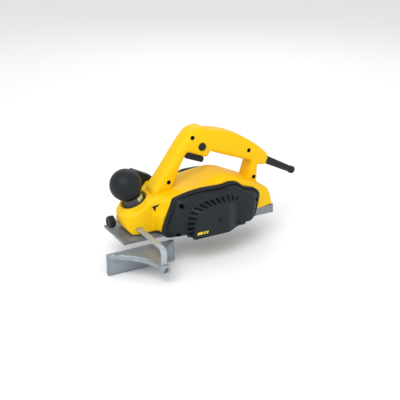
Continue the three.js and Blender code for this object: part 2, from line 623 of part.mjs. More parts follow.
// ---------------------------------------------------------------- switch
// Trigger on a pin, plunger and switch body, with a lock-off button and a capacitor.
{
  const hinge = rodY(1.5 + gap, -20, 20, ...triggerPivot, 12);
  add('trigger', prismY(triggerOutline, -triggerHalf, triggerHalf, 1.2, 2).subtract(hinge), 'black');
  add('trigger_pin', rodY(1.5, -handleHalf + 1.5, handleHalf - 1.5, ...triggerPivot, 12), 'steel');
  const switchFloor = 138;
  const plungerFoot = 123.7;
  const body = box(148, 174, -7.2, 7.2, switchFloor, 155);
  const bore = rod(3 + running, 0, 12, at(plungerX, 0, switchFloor - 1), axisZ, 16);
  add('switch_body', body.subtract(bore), 'black');
  add('switch_plunger', rod(3, plungerFoot, switchFloor + 6, at(plungerX, 0, 0), axisZ, 16), 'grey');
  add('lock_off_button', turned([
    [0, 0], [lockRadius - 0.9, 0], [lockRadius, 0.9], [lockRadius, 8.5], [0, 8.5],
  ], at(lockPlace[0], -handleHalf - 2.8, lockPlace[1]), axisY, 24), 'black');
  add('capacitor', rod(6, -12, 12, at(200, 0, 137), at(0.94, 0, -0.342).normalize(), 20), 'grey');
}

// ---------------------------------------------------------------- cord entry
// Rubber sleeve held by its flange in the handle's end, and the clamp for the cord inside.
{
  add('cord_sleeve', turned([
    [4, -9], [9, -9], [9, -3], [7.2, -3], [7.2, 4], [5.7, 64], [6.7, 65.5], [6.7, 71.5],
    [4, 72], [4, -9],
  ], bootRoot, bootDir, 20), 'rubber');
  const clampAt = bootRoot.clone().addScaledVector(bootDir, -19);
  add('cord_clamp', box(clampAt.x - 4, clampAt.x + 4, -9, 9, clampAt.z - 9, clampAt.z - 5.5), 'black');
}

// ---------------------------------------------------------------- belt cover
// Black moulded cover: flange on the housing, sloping sides and a deep panel with louvres.
{
  const flangeY = leftFace - gap;
  const flangeThick = 3;
  const slope = [                  // outer corners of the sloping sides
    [84, 9], [83, 30], [95, 51], [118, 62], [150, 67], [motorX + 12, motorZ + 16],
    [motorX + 38, motorZ], [motorX + 46, 30], [motorX + 42, 8], [96, 5],
  ];
  const panelFoot = [
    [99, 4], [100, 40], [112, 60], [138, 68], [motorX - 3, motorZ + 18],
    [motorX + 26, motorZ + 4], [motorX + 34, 34], [motorX + 30, 4],
  ];
  const panelFace = [
    [107, 1.6], [112, 38], [121, 50], [140, motorZ + 6], [168, motorZ + 7], [170, 1.6],
  ];
  const flangeFoot = inset(flange, 4);
  const deep = leftFace - coverDepth;
  const shellOf = (wall) => {
    const midX = 155;
    const midZ = 34;
    const shrink = ([x, z]) => [
      midX + (x - midX) * (1 - wall / 62), midZ + (z - midZ) * (1 - wall / 29)];
    const layer = (points, y) => points.map(shrink).map(([x, z]) => [x, y + wall, z]);
    const shoulder = hull([
      ...layer(flangeFoot, flangeY - flangeThick + 1), ...layer(slope, flangeY - 17)]);
    const panel = hull([
      ...layer(panelFoot, flangeY - 9), ...layer(panelFace, deep),
      ...layer([[motorX + 14, motorZ - 3], [motorX + 16, 4]], deep + 15)]);
    return join(shoulder, panel);
  };
  const flangePlate = prismY(inset(flange, 0.6), flangeY - flangeThick, flangeY, 0);
  let cover = join(flangePlate, shellOf(0));
  let inside = join(shellOf(coverWall), prismY(inset(flange, 7), flangeY - flangeThick, flangeY + 1));
  for (const [x, z] of coverScrews) {
    inside = inside.subtract(rodY(6.5, -far, 0, x, z, 16));
  }
  inside = inside.subtract(rodY(5.5, deep, deep + 13, ...panelScrew, 16));
  cover = cover.subtract(inside);
  for (const [x, z] of coverScrews) {
    cover = cut(cover, rodY(4.2, -far, flangeY - flangeThick, x, z, 16),
      rodY(1.6 + gap, -far, 0, x, z, 12));
  }
  cover = cut(cover, rodY(4.2, deep - 5, deep + 3, ...panelScrew, 16),
    rodY(1.6 + gap, deep, deep + 11, ...panelScrew, 12));

  // Louvres round the panel's edge.
  const edge = new THREE.CatmullRomCurve3([
    [105, 14], [107, 34], [114, 50], [132, 58], [157, 60], [motorX - 4, 60], [motorX + 15, 54],
  ].map(([x, z]) => at(x, 0, z)));
  const louvres = 14;
  for (let i = 0; i < louvres; i += 1) {
    const u = i / (louvres - 1);
    const place = edge.getPointAt(u);
    const along = edge.getTangentAt(u);
    const angle = Math.atan2(along.z, along.x);
    const slot = new THREE.BoxGeometry(2.4, 11, 11).rotateY(-angle + 0.35)
      .translate(place.x, flangeY - 21, place.z);
    cover = cover.subtract(toSolid(slot));
  }
  add('belt_cover', cover, 'black');
  coverScrews.forEach(([x, z], i) => {
    const top = flangeY - flangeThick - gap;
    const screw = join(rodY(3.5, top - 2.2, top, x, z, 12), rodY(1.6, top - 1, leftFace + 7, x, z, 12));
    add(`cover_screw_${i + 1}`, screw, 'steel');
  });
  const low = deep + 3 - gap;
  add('cover_screw_5', join(rodY(3.5, low - 2.2, low, ...panelScrew, 12),
    rodY(1.6, low - 1, low + 7, ...panelScrew, 12)), 'steel');
}

// ---------------------------------------------------------------- right side
// Vented motor cover with the cup of the right bearing, and the chip chute in front of it.
{
  const y0 = rightFace + gap;
  const coverOutline = [
    [motorX - 42, motorZ - 30, 6], [motorX - 42, motorZ + 10, 14], [motorX - 32, motorZ + 23, 10],
    [motorX + 14, motorZ + 23, 16], [motorX + 38, motorZ + 8, 14], [motorX + 42, motorZ - 20, 10],
    [motorX + 38, motorZ - 30, 6],
  ];
  let cover = join(prismY(coverOutline, y0, y0 + 8, 3).subtract(
    prismY(inset(coverOutline, 4.5), y0 - 1, y0 + 5.5)),
  rodY(13.8, motorBearingRight - 3.5, y0 + 6, motorX, motorZ, 32));
  cover = cover.subtract(rodY(bearingRadius + gap, 0, motorBearingRight + bearingWidth / 2 + gap,
    motorX, motorZ, 28));
  for (const x of [-33, -27, -21, 19, 25, 31]) {
    const tall = 22 - Math.abs(x) / 3;
    cover = cover.subtract(box(motorX + x, motorX + x + 3, y0 + 3, y0 + 9, motorZ - tall, motorZ + tall));
  }
  add('motor_cover', cover, 'black');

  const chuteOutline = [
    [cutterX - 52, cutRadius + 24, 3], [cutterX - 54, cutRadius + 56, 5],
    [cutterX - 49, cutRadius + 65, 4], [cutterX - 16, cutRadius + 48.5, 6],
    [cutterX - 4, cutRadius + 38, 5], [cutterX - 4, cutRadius + 24, 3],
  ];
  const y1 = y0 + 17;
  const chute = cut(prismY(chuteOutline, y0, y1, 1.5, 3),
    prismY(inset(chuteOutline, 2.4), y0 + 2.4, y1 - 2.4, 0, 2),
    prismY(inset(ductOutline, 0.5), y0 - 1, y0 + 4),
    box(cutterX - 60, cutterX - 45, y0 + 3, y1 - 3, cutRadius + 29, cutRadius + 55));
  add('chip_chute', chute, 'black');
}

// ---------------------------------------------------------------- edge fence
// Bent steel bar through the nose, carrying a cast fence, and the knob that clamps it.
{
  const barHalf = barWidth / 2;
  const top = barZ + barThick / 2;
  const bottom = barZ - barThick / 2;
  const legOuter = legY - barThick / 2;
  const legInner = legY + barThick / 2;
  const screwZ = -16.5;
  const bossTopZ = -10;
  const bossFootZ = -23;
  const legFoot = bossFootZ + 3;
  const elbow = [
    [fenceInner, bottom], [fenceInner, top], [legOuter, top, 11], [legOuter, legFoot],
    [legInner, legFoot], [legInner, bottom, 7],
  ];
  const bar = prismX(elbow, barX - barHalf, barX + barHalf, 0, 6).subtract(
    rodY(2.2 + gap, legY - 10, legY + 10, barX, screwZ, 12));
  add('fence_bar', bar, 'steel');

  const plateY = -half - 4.5;
  const plateOutline = [
    [barX - 68, -6, 3], [barX - 68, -43, 3], [barX + 53, -43, 3], [barX + 53, -6, 3],
  ];
  const plate = prismY(plateOutline, plateY - 5, plateY, 0.8, 3);
  const station = (y, x0, x1, z, thick) => [
    [x0, y, z], [x1, y, z], [x0, y, z - thick], [x1, y, z - thick]];
  const web = join(
    hull([...station(plateY - 4, barX - 67, barX + 52, -6.4, 4),
      ...station(plateY - 12, barX - 52, barX + 40, -9, 4)]),
    hull([...station(plateY - 12, barX - 52, barX + 40, -9, 4),
      ...station(plateY - 28, barX - 22, barX + 21, -11.5, 4)]),
    hull([...station(plateY - 28, barX - 22, barX + 21, -11.5, 4),
      ...station(legY + 10, barX - 8, barX + 8, -14, 6)]));
  const boss = prismZ([
    [barX - 8, legY + 11], [barX - 8, legY - 6, 6], [barX + 8, legY - 6, 6], [barX + 8, legY + 11],
  ], bossFootZ, bossTopZ);
  const socket = box(barX - barHalf - gap, barX + barHalf + gap,
    legOuter - gap, legInner + gap, legFoot - gap, 0);
  const casting = cut(join(plate, web, boss), socket,
    rodY(2.2 + gap, legY - 20, legY + 7, barX, screwZ, 12),
    rodY(4.4, legY - 20, legY - 4.6, barX, screwZ, 16));
  add('fence_casting', casting, 'polished');
  add('fence_screw', join(rodY(4, legY - 7, legY - 4.6 - gap, barX, screwZ, 12),
    rodY(2.2, legY - 6, legY + 6.5, barX, screwZ, 12)), 'steel');

  // Lobed clamp knob on its stem, which presses on the front of the bar.
  const lobes = new THREE.Shape();
  const steps = 36;
  for (let i = 0; i <= steps; i += 1) {
    const angle = (i / steps) * 2 * Math.PI;
    const r = 10.3 + 1.3 * Math.cos(6 * angle);
    if (i === 0) lobes.moveTo(r, 0);
    else lobes.lineTo(r * Math.cos(angle), r * Math.sin(angle));
  }
  const knob = new THREE.ExtrudeGeometry(lobes, {
    depth: 9, bevelEnabled: true, bevelSize: 1.2, bevelThickness: 1.5, bevelSegments: 1,
    bevelOffset: -1.2,
  }).rotateY(Math.PI / 2).translate(-1.5, clampY, clampZ);
  add('clamp_knob', toSolid(knob).subtract(rodX(3 + gap, 3, 20, clampY, clampZ, 16)), 'black');
  add('clamp_screw', join(rodX(3, 3 + gap, barX - barHalf - gap, clampY, clampZ, 16),
    rodX(5.2, 9.4, 11.2, clampY, clampZ, 16)), 'steel');
}

planer.position.x = -(rearSoleStart + tail) / 2;

export default planer;
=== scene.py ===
import json
import math

import bmesh
import bpy
import numpy as np
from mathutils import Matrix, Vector

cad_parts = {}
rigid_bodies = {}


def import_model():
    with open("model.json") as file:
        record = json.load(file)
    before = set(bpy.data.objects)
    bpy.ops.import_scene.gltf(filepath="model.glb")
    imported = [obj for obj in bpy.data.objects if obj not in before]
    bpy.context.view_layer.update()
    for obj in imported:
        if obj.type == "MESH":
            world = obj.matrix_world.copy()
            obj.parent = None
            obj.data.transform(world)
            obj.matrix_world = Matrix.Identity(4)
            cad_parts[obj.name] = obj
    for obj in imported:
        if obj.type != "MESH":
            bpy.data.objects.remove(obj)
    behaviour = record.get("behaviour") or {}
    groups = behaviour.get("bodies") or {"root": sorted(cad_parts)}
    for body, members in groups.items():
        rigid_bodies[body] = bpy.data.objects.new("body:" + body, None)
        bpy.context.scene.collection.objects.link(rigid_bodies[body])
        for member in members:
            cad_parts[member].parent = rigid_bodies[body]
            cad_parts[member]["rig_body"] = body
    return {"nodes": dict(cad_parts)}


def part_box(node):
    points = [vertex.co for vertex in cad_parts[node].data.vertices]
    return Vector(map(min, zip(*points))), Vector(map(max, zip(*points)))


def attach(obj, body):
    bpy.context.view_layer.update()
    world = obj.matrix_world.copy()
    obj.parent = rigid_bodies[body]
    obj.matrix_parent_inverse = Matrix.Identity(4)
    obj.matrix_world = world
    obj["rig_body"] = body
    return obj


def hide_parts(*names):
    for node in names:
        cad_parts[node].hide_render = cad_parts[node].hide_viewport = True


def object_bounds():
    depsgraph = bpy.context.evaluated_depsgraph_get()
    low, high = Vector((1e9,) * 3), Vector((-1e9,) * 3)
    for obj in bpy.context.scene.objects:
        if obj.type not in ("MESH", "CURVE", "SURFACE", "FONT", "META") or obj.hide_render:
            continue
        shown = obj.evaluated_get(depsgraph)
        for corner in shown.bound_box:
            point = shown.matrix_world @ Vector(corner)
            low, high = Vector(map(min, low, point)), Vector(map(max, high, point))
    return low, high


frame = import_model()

# ------------------------------------------------------------------ studio
# A white sweep under broad soft lights, with the planer seen from its belt side and a little
# from above. The fence hangs lowest, so the floor lies just under it.
cad_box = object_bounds()
floor_gap = 0.0006
floor_height = cad_box[0].z - floor_gap


def plane(name, size, height):
    """A flat square: corners at (+-size/2, +-size/2, height)."""
    half = size / 2
    corners = [(x * half, y * half, height) for x, y in ((-1, -1), (1, -1), (1, 1), (-1, 1))]
    mesh = bpy.data.meshes.new(name)
    mesh.from_pydata(corners, [], [(0, 1, 2, 3)])
    made = bpy.data.objects.new(name, mesh)
    bpy.context.scene.collection.objects.link(made)
    return made


floor = plane("floor", 14.0, floor_height)
floor_paint = bpy.data.materials.new("white_sweep")
floor_paint.use_nodes = True
floor_inputs = floor_paint.node_tree.nodes["Principled BSDF"].inputs
floor_inputs["Base Color"].default_value = (0.93, 0.93, 0.93, 1)
floor_inputs["Roughness"].default_value = 0.9
floor_inputs["Specular IOR Level"].default_value = 0.1
floor.data.materials.append(floor_paint)

studio = bpy.data.worlds.new("studio")
studio.use_nodes = True
walls = studio.node_tree.nodes["Background"].inputs
walls["Color"].default_value = (1, 1, 1, 1)
walls["Strength"].default_value = 0.8
bpy.context.scene.world = studio
bpy.context.scene.view_settings.view_transform = "Standard"

aim = Vector((-0.0697, -0.0491, 0.0557))


def softbox(name, direction, distance, size, power):
    """A square area light at aim + direction * distance, turned to face the aim point."""
    light = bpy.data.lights.new(name, "AREA")
    light.energy, light.size = power, size
    made = bpy.data.objects.new(name, light)
    made.location = aim + Vector(direction).normalized() * distance
    made.rotation_mode = "QUATERNION"
    made.rotation_quaternion = (aim - made.location).to_track_quat("-Z", "Y")
    bpy.context.scene.collection.objects.link(made)


softbox("key", (-0.75, -0.6, 1.1), 1.6, 1.1, 14)
softbox("fill", (0.5, -1.0, 0.35), 1.8, 1.2, 3)
softbox("rim", (0.6, 0.9, 0.8), 1.7, 0.9, 4)

azimuth, elevation, camera_distance = math.radians(-28.895), math.radians(22.299), 1.4957
back = Vector((math.sin(azimuth) * math.cos(elevation), -math.cos(azimuth) * math.cos(elevation),
               math.sin(elevation)))
camera = bpy.data.objects.new("camera", bpy.data.cameras.new("camera"))
camera.data.sensor_width, camera.data.lens = 36.0, 81.0
camera.location = aim + back * camera_distance
camera.rotation_mode = "QUATERNION"
camera.rotation_quaternion = back.to_track_quat("Z", "Y")
bpy.context.scene.collection.objects.link(camera)
bpy.context.scene.camera = camera

# ------------------------------------------------------------------ rear base and front shoe
# Two aluminium castings with milled faces: a base with pockets and cheeks for the cutter's
# bearings, and a shoe with a chamfering groove. Their arrises are broken by hand.


def metal_grain():
    """Node group for machined and cast metal. A noise stretched along the planer gives fine
    streaks, and a round noise gives the soft blotches left by handling."""
    group = bpy.data.node_groups.new("metal_grain", "ShaderNodeTree")
    face = group.interface
    for label, value in (("Along", 30.0), ("Across", 900.0), ("Blotch", 60.0)):
        face.new_socket(label, in_out="INPUT", socket_type="NodeSocketFloat").default_value = value
    for label in ("Streak", "Blotches"):
        face.new_socket(label, in_out="OUTPUT", socket_type="NodeSocketFloat")
    nodes, link = group.nodes, group.links.new
    entry, out = nodes.new("NodeGroupInput"), nodes.new("NodeGroupOutput")
    where = nodes.new("ShaderNodeTexCoord")
    scales = nodes.new("ShaderNodeCombineXYZ")
    stretch = nodes.new("ShaderNodeVectorMath")
    stretch.operation = "MULTIPLY"
    link(entry.outputs["Along"], scales.inputs["X"])
    link(entry.outputs["Across"], scales.inputs["Y"])
    link(entry.outputs["Across"], scales.inputs["Z"])
    link(where.outputs["Object"], stretch.inputs[0])
    link(scales.outputs["Vector"], stretch.inputs[1])
    streak = nodes.new("ShaderNodeTexNoise")
    streak.inputs["Scale"].default_value = 1.0
    streak.inputs["Detail"].default_value = 3.0
    link(stretch.outputs["Vector"], streak.inputs["Vector"])
    blotch = nodes.new("ShaderNodeTexNoise")
    blotch.inputs["Detail"].default_value = 4.0
    link(where.outputs["Object"], blotch.inputs["Vector"])
    link(entry.outputs["Blotch"], blotch.inputs["Scale"])
    link(streak.outputs["Fac"], out.inputs["Streak"])
    link(blotch.outputs["Fac"], out.inputs["Blotches"])
    return group


metal_grain_group = metal_grain()


def metal(name, color, roughness, along=30.0, across=900.0, depth=0.25, metallic=1.0):
    """Metal whose roughness follows the streaks and whose colour dulls in the blotches:
    roughness = base + 0.16 (streak - 0.5), colour = mix(colour, 0.72 colour)."""
    made = bpy.data.materials.new(name)
    made.use_nodes = True
    nodes, link = made.node_tree.nodes, made.node_tree.links.new
    shader = nodes["Principled BSDF"]
    shader.inputs["Metallic"].default_value = metallic
    grain = nodes.new("ShaderNodeGroup")
    grain.node_tree = metal_grain_group
    grain.inputs["Along"].default_value = along
    grain.inputs["Across"].default_value = across
    tint = nodes.new("ShaderNodeMix")
    tint.data_type = "RGBA"
    tint.inputs["A"].default_value = (*color, 1)
    tint.inputs["B"].default_value = (*[c * 0.72 for c in color], 1)
    link(grain.outputs["Blotches"], tint.inputs["Factor"])
    link(tint.outputs["Result"], shader.inputs["Base Color"])
    spread = nodes.new("ShaderNodeMapRange")
    spread.inputs["To Min"].default_value = roughness - 0.08
    spread.inputs["To Max"].default_value = roughness + 0.08
    link(grain.outputs["Streak"], spread.inputs["Value"])
    link(spread.outputs["Result"], shader.inputs["Roughness"])
    bump = nodes.new("ShaderNodeBump")
    bump.inputs["Strength"].default_value = depth
    bump.inputs["Distance"].default_value = 0.0001
    link(grain.outputs["Streak"], bump.inputs["Height"])
    link(bump.outputs["Normal"], shader.inputs["Normal"])
    return made


def eased(node, material, slot, width, limit=40):
    """A copy of a CAD piece with its doubles merged, its flat faces joined up, and every arris
    over the limit angle rounded by a two-step bevel of the given width in millimetres."""
    source = frame["nodes"][node]
    made = bpy.data.objects.new(f"{node}_finished", source.data.copy())
    bpy.context.scene.collection.objects.link(made)
    work = bmesh.new()
    work.from_mesh(made.data)
    bmesh.ops.remove_doubles(work, verts=work.verts, dist=2e-6)
    bmesh.ops.dissolve_limit(work, angle_limit=math.radians(1.5), verts=work.verts, edges=work.edges)
    work.to_mesh(made.data)
    work.free()
    made.data.shade_smooth()
    made.data.set_sharp_from_angle(angle=math.radians(limit - 5))
    rounding = made.modifiers.new("arris", "BEVEL")
    rounding.width, rounding.segments = width / 1000, 2
    rounding.limit_method, rounding.angle_limit = "ANGLE", math.radians(limit)
    rounding.use_clamp_overlap = True
    rounding.harden_normals = True
    finish_piece(made, material, slot, node)
    return made


def finish_piece(made, material, slot, *nodes, body=None):
    """Gives a piece its material and its body, and hides the CAD nodes that it replaces. The slot argument
    is not used.
    """
    made.data.materials.clear()
    made.data.materials.append(material)
    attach(made, body or frame["nodes"][nodes[0]]["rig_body"])
    if nodes:
        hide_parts(*nodes)


arris = 0.35
milled = metal("milled_aluminium", (0.24, 0.265, 0.29), 0.46, 25, 700, metallic=0.4)
for casting in ("rear_base", "front_shoe"):
    eased(casting, milled, "cast_aluminium", arris)

# ------------------------------------------------------------------ main housing
# Glass-filled nylon moulding that carries everything: nose, flare, motor barrel and tail. Its
# edges come soft out of the mould and its skin has a fine spark-eroded texture.
front_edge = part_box("front_shoe")[0].x


def moulded_skin():
    """Node group for moulded plastic: a fine noise for the eroded texture, and a wider one for
    the flow of the melt."""
    group = bpy.data.node_groups.new("moulded_skin", "ShaderNodeTree")
    face = group.interface
    face.new_socket("Texture", in_out="INPUT", socket_type="NodeSocketFloat").default_value = 1800.0
    face.new_socket("Flow", in_out="INPUT", socket_type="NodeSocketFloat").default_value = 26.0
    for label in ("Height", "Drift"):
        face.new_socket(label, in_out="OUTPUT", socket_type="NodeSocketFloat")
    nodes, link = group.nodes, group.links.new
    entry, out = nodes.new("NodeGroupInput"), nodes.new("NodeGroupOutput")
    where = nodes.new("ShaderNodeTexCoord")
    fine, wide = nodes.new("ShaderNodeTexNoise"), nodes.new("ShaderNodeTexNoise")
    for noise, socket in ((fine, "Texture"), (wide, "Flow")):
        noise.inputs["Detail"].default_value = 2.0
        link(where.outputs["Object"], noise.inputs["Vector"])
        link(entry.outputs[socket], noise.inputs["Scale"])
    link(fine.outputs["Fac"], out.inputs["Height"])
    link(wide.outputs["Fac"], out.inputs["Drift"])
    return group


moulded_skin_group = moulded_skin()


def plastic(name, color, drifted, roughness, texture=1800.0, depth=0.2, shine=0.3):
    """Plastic whose colour drifts between two close shades with the flow of the melt, whose
    roughness rises by 0.1 in the fine texture, and which the texture bumps."""
    made = bpy.data.materials.new(name)
    made.use_nodes = True
    nodes, link = made.node_tree.nodes, made.node_tree.links.new
    shader = nodes["Principled BSDF"]
    shader.inputs["Specular IOR Level"].default_value = shine
    skin = nodes.new("ShaderNodeGroup")
    skin.node_tree = moulded_skin_group
    skin.inputs["Texture"].default_value = texture
    tint = nodes.new("ShaderNodeMix")
    tint.data_type = "RGBA"
    tint.inputs["A"].default_value = (*color, 1)
    tint.inputs["B"].default_value = (*drifted, 1)
    link(skin.outputs["Drift"], tint.inputs["Factor"])
    link(tint.outputs["Result"], shader.inputs["Base Color"])
    spread = nodes.new("ShaderNodeMapRange")
    spread.inputs["To Min"].default_value = roughness
    spread.inputs["To Max"].default_value = roughness + 0.1
    link(skin.outputs["Height"], spread.inputs["Value"])
    link(spread.outputs["Result"], shader.inputs["Roughness"])
    bump = nodes.new("ShaderNodeBump")
    bump.inputs["Strength"].default_value = depth
    bump.inputs["Distance"].default_value = 0.00008
    link(skin.outputs["Height"], bump.inputs["Height"])
    link(bump.outputs["Normal"], shader.inputs["Normal"])
    return made


yellow = plastic("yellow_nylon", (0.84, 0.50, 0.0), (0.87, 0.53, 0.0), 0.45, shine=0.18)
black = plastic("black_nylon", (0.007, 0.012, 0.016), (0.010, 0.015, 0.020), 0.40, shine=0.24)
satin_black = plastic("satin_black_nylon", (0.007, 0.011, 0.014), (0.010, 0.014, 0.018), 0.45,
                      texture=2600, shine=0.24)
rubber = plastic("soft_rubber", (0.010, 0.013, 0.015), (0.013, 0.016, 0.019), 0.58,
                 texture=3200, depth=0.3)
grey_nylon = plastic("grey_nylon", (0.20, 0.21, 0.21), (0.23, 0.24, 0.24), 0.5)


def softened(node, material, slot, cell, passes, keep, round_share, round_passes):
    """A copy of a CAD piece rebuilt on an even lattice of the given cell in millimetres, so that
    walls and fillets run into each other as in a moulding, then relaxed and thinned to a share
    of its faces. round_share(places) says from 0 to 1 where it is relaxed far more."""
    source = frame["nodes"][node]
    made = bpy.data.objects.new(f"{node}_moulding", source.data.copy())
    bpy.context.scene.collection.objects.link(made)
    work = bmesh.new()
    work.from_mesh(made.data)
    bmesh.ops.remove_doubles(work, verts=work.verts, dist=2e-6)
    work.to_mesh(made.data)
    work.free()
    lattice = made.modifiers.new("lattice", "REMESH")
    lattice.mode, lattice.voxel_size = "VOXEL", cell / 1000
    relax = made.modifiers.new("relax", "SMOOTH")
    relax.factor, relax.iterations = 0.5, passes
    apply_all(made)
    places = np.empty(len(made.data.vertices) * 3)
    made.data.vertices.foreach_get("co", places)
    share = round_share(places.reshape(-1, 3) * 1000 - (front_edge * 1000, 0, 0))
    well_rounded = made.vertex_groups.new(name="well_rounded")
    for level in range(1, 11):
        chosen = np.flatnonzero(np.round(share * 10) == level)
        well_rounded.add(chosen.tolist(), level / 10, "REPLACE")
    more = made.modifiers.new("round", "SMOOTH")
    more.factor, more.iterations, more.vertex_group = 0.5, round_passes, "well_rounded"
    thin = made.modifiers.new("thin", "DECIMATE")
    thin.ratio = keep
    apply_all(made)
    made.data.shade_smooth()
    made.data.set_sharp_from_angle(angle=math.radians(50))
    finish_piece(made, material, slot, node)
    return made


def apply_all(made):
    """Replaces the piece's mesh by its evaluated mesh and drops the modifiers."""
    bpy.context.view_layer.update()
    solved = made.evaluated_get(bpy.context.evaluated_depsgraph_get())
    mesh = bpy.data.meshes.new_from_object(solved)
    made.modifiers.clear()
    made.data = mesh


def smooth(value, low, high):
    """0 below low, 1 above high, and 3 t^2 - 2 t^3 between."""
    t = np.clip((value - low) / (high - low), 0, 1)
    return t * t * (3 - 2 * t)


def crown_share(places):
    """1 on the crown and shoulders of the motor barrel. It falls to 0 ahead of the leg's foot,
    towards the tail, at the belt flange, and 8 mm below a line drawn over the shoulders."""
    x, y, z = places.T
    shoulder_x = [60, 104, 140, 167, 185, 205, 225, 250, 277, 290]
    shoulder_z = [40, 50, 54, 58, 60, 58, 50, 42, 30, 20]
    line = np.interp(x, shoulder_x, shoulder_z)
    behind_leg = np.maximum(smooth(x, 96, 106), 1 - smooth(np.abs(y), 0, 60)) * smooth(x, 94, 104)
    ahead_of_tail = 1 - smooth(x, 258, 272)
    return smooth(z, line - 8, line + 2) * behind_leg * smooth(y, -47.5, -44) * ahead_of_tail


housing = softened("main_housing", yellow, "yellow_plastic", cell=1.3, passes=4, keep=0.5,
                   round_share=crown_share, round_passes=60)

# ------------------------------------------------------------------ handle
# Two nylon halves, each a shell round the switch, screwed together along the middle. The
# grip is well rounded for the palm, and the front of the leg is rounded more widely.


def outline(corners, steps=7):
    """A closed outline of corners (a, b, r). Each corner is a quadratic curve that leaves its
    two sides r before and after it, or 0.49 of the shorter side where r is more."""
    sized = np.array([(*corner, 0.02)[:3] for corner in corners], float)
    here = sized[:, :2]
    before, after = np.roll(here, 1, 0) - here, np.roll(here, -1, 0) - here
    back_length, length = np.linalg.norm(before, axis=1), np.linalg.norm(after, axis=1)
    radius = np.minimum(sized[:, 2], 0.49 * np.minimum(back_length, length))
    start = here + before * (radius / back_length)[:, None]
    end = here + after * (radius / length)[:, None]
    t = np.linspace(0, 1, steps)[None, :, None]
    bend = (1 - t) ** 2 * start[:, None] + 2 * t * (1 - t) * here[:, None] + t**2 * end[:, None]
    return bend.reshape(-1, 2)


def inset(corners, distance):
    """The corners moved inwards by a distance along the mitre of their two sides. The rounding
    of an outward corner shrinks by the distance, and that of an inward one grows by it."""
    sized = np.array([(*corner, 0.02)[:3] for corner in corners], float)
    here = sized[:, :2]
    before = here - np.roll(here, 1, 0)
    after = np.roll(here, -1, 0) - here
    before /= np.linalg.norm(before, axis=1)[:, None]
    after /= np.linalg.norm(after, axis=1)[:, None]
    area = np.sum(here[:, 0] * np.roll(here[:, 1], -1) - here[:, 1] * np.roll(here[:, 0], -1))
    side = np.sign(area)
    normal = np.stack([-before[:, 1] - after[:, 1], before[:, 0] + after[:, 0]], 1) * side
    normal /= np.linalg.norm(normal, axis=1)[:, None]
    spread = np.maximum(0.35, (normal * np.stack([-before[:, 1], before[:, 0]], 1) * side).sum(1))
    distance = np.broadcast_to(distance, len(here))
    turn = np.sign(before[:, 0] * after[:, 1] - before[:, 1] * after[:, 0]) * side
    moved = here + normal * (distance / spread)[:, None]
    radius = np.where(sized[:, 2] > 0.1, np.maximum(0.3, sized[:, 2] - turn * distance), 0.02)
    return [(*place, r) for place, r in zip(moved, radius)]


def piece_from(name, points, faces, sharp=35):
    """A mesh object from places in millimetres: doubles merged, faces turned outwards, shaded
    smooth with edges over the given angle left sharp."""
    mesh = bpy.data.meshes.new(name)
    places = np.asarray(points, float).reshape(-1, 3) / 1000 + (front_edge, 0, 0)
    mesh.from_pydata(places.tolist(), [], faces)
    work = bmesh.new()
    work.from_mesh(mesh)
    bmesh.ops.remove_doubles(work, verts=work.verts, dist=2e-7)
    bmesh.ops.recalc_face_normals(work, faces=work.faces)
    work.to_mesh(mesh)
    work.free()
    mesh.shade_smooth()
    mesh.set_sharp_from_angle(angle=math.radians(sharp))
    made = bpy.data.objects.new(name, mesh)
    bpy.context.scene.collection.objects.link(made)
    return made


def skin(name, rings, sharp=35, capped=True):
    """Closed surface through rings[i, j]: quads between ring i and ring i + 1 and, if capped,
    one face on the first and on the last ring."""
    count, around = rings.shape[:2]
    i, j = np.arange(count - 1)[:, None] * around, np.arange(around)[None, :]
    k = (j + 1) % around
    quads = np.stack([i + j, i + k, i + around + k, i + around + j], -1).reshape(-1, 4)
    ends = [list(range(around)), list(range((count - 1) * around, count * around))] if capped else []
    return piece_from(name, rings, quads.tolist() + ends, sharp)


def moulded(name, corners, path, steps=7, sharp=35):
    """An outline in X and Z carried across the planer: path rows are (y, distance), and at
    each the outline is inset by distance times the corner weights."""
    weights = np.array([corner[3] if len(corner) > 3 else 1.0 for corner in corners])
    plain = [corner[:3] for corner in corners]
    rings = []
    for y, distance in path:
        flat = outline(inset(plain, distance * weights), steps)
        rings.append(np.stack([flat[:, 0], np.full(len(flat), y), flat[:, 1]], 1))
    return skin(name, np.array(rings), sharp)


def rolled(y0, y1, r0, r1, flat=0.0, steps=7):
    """A path from y0 to y1 whose ends roll over by r0 and r1: quadratic curves between the face
    and the side, with their middle point held off the corner by flat times the roll."""
    t = np.linspace(0, 1, steps)
    way = np.sign(y1 - y0)
    step = (1 - t) ** 2
    rise = t**2 + 2 * t * (1 - t) * flat
    fall = step + 2 * t * (1 - t) * flat
    first = np.stack([y0 + way * r0 * rise, r0 * fall], 1)
    last = np.stack([y1 - way * r1 * rise, r1 * fall], 1)[::-1]
    return np.concatenate([first, last])


def carve(piece, *tools):
    """Takes the tools' solids out of the piece with booleans, then removes the tools."""
    for tool in tools:
        bite = piece.modifiers.new("bite", "BOOLEAN")
        bite.operation, bite.solver, bite.object = "DIFFERENCE", "MANIFOLD", tool
    apply_all(piece)
    for tool in tools:
        bpy.data.objects.remove(tool)
    piece.data.shade_smooth()
    piece.data.set_sharp_from_angle(angle=math.radians(35))


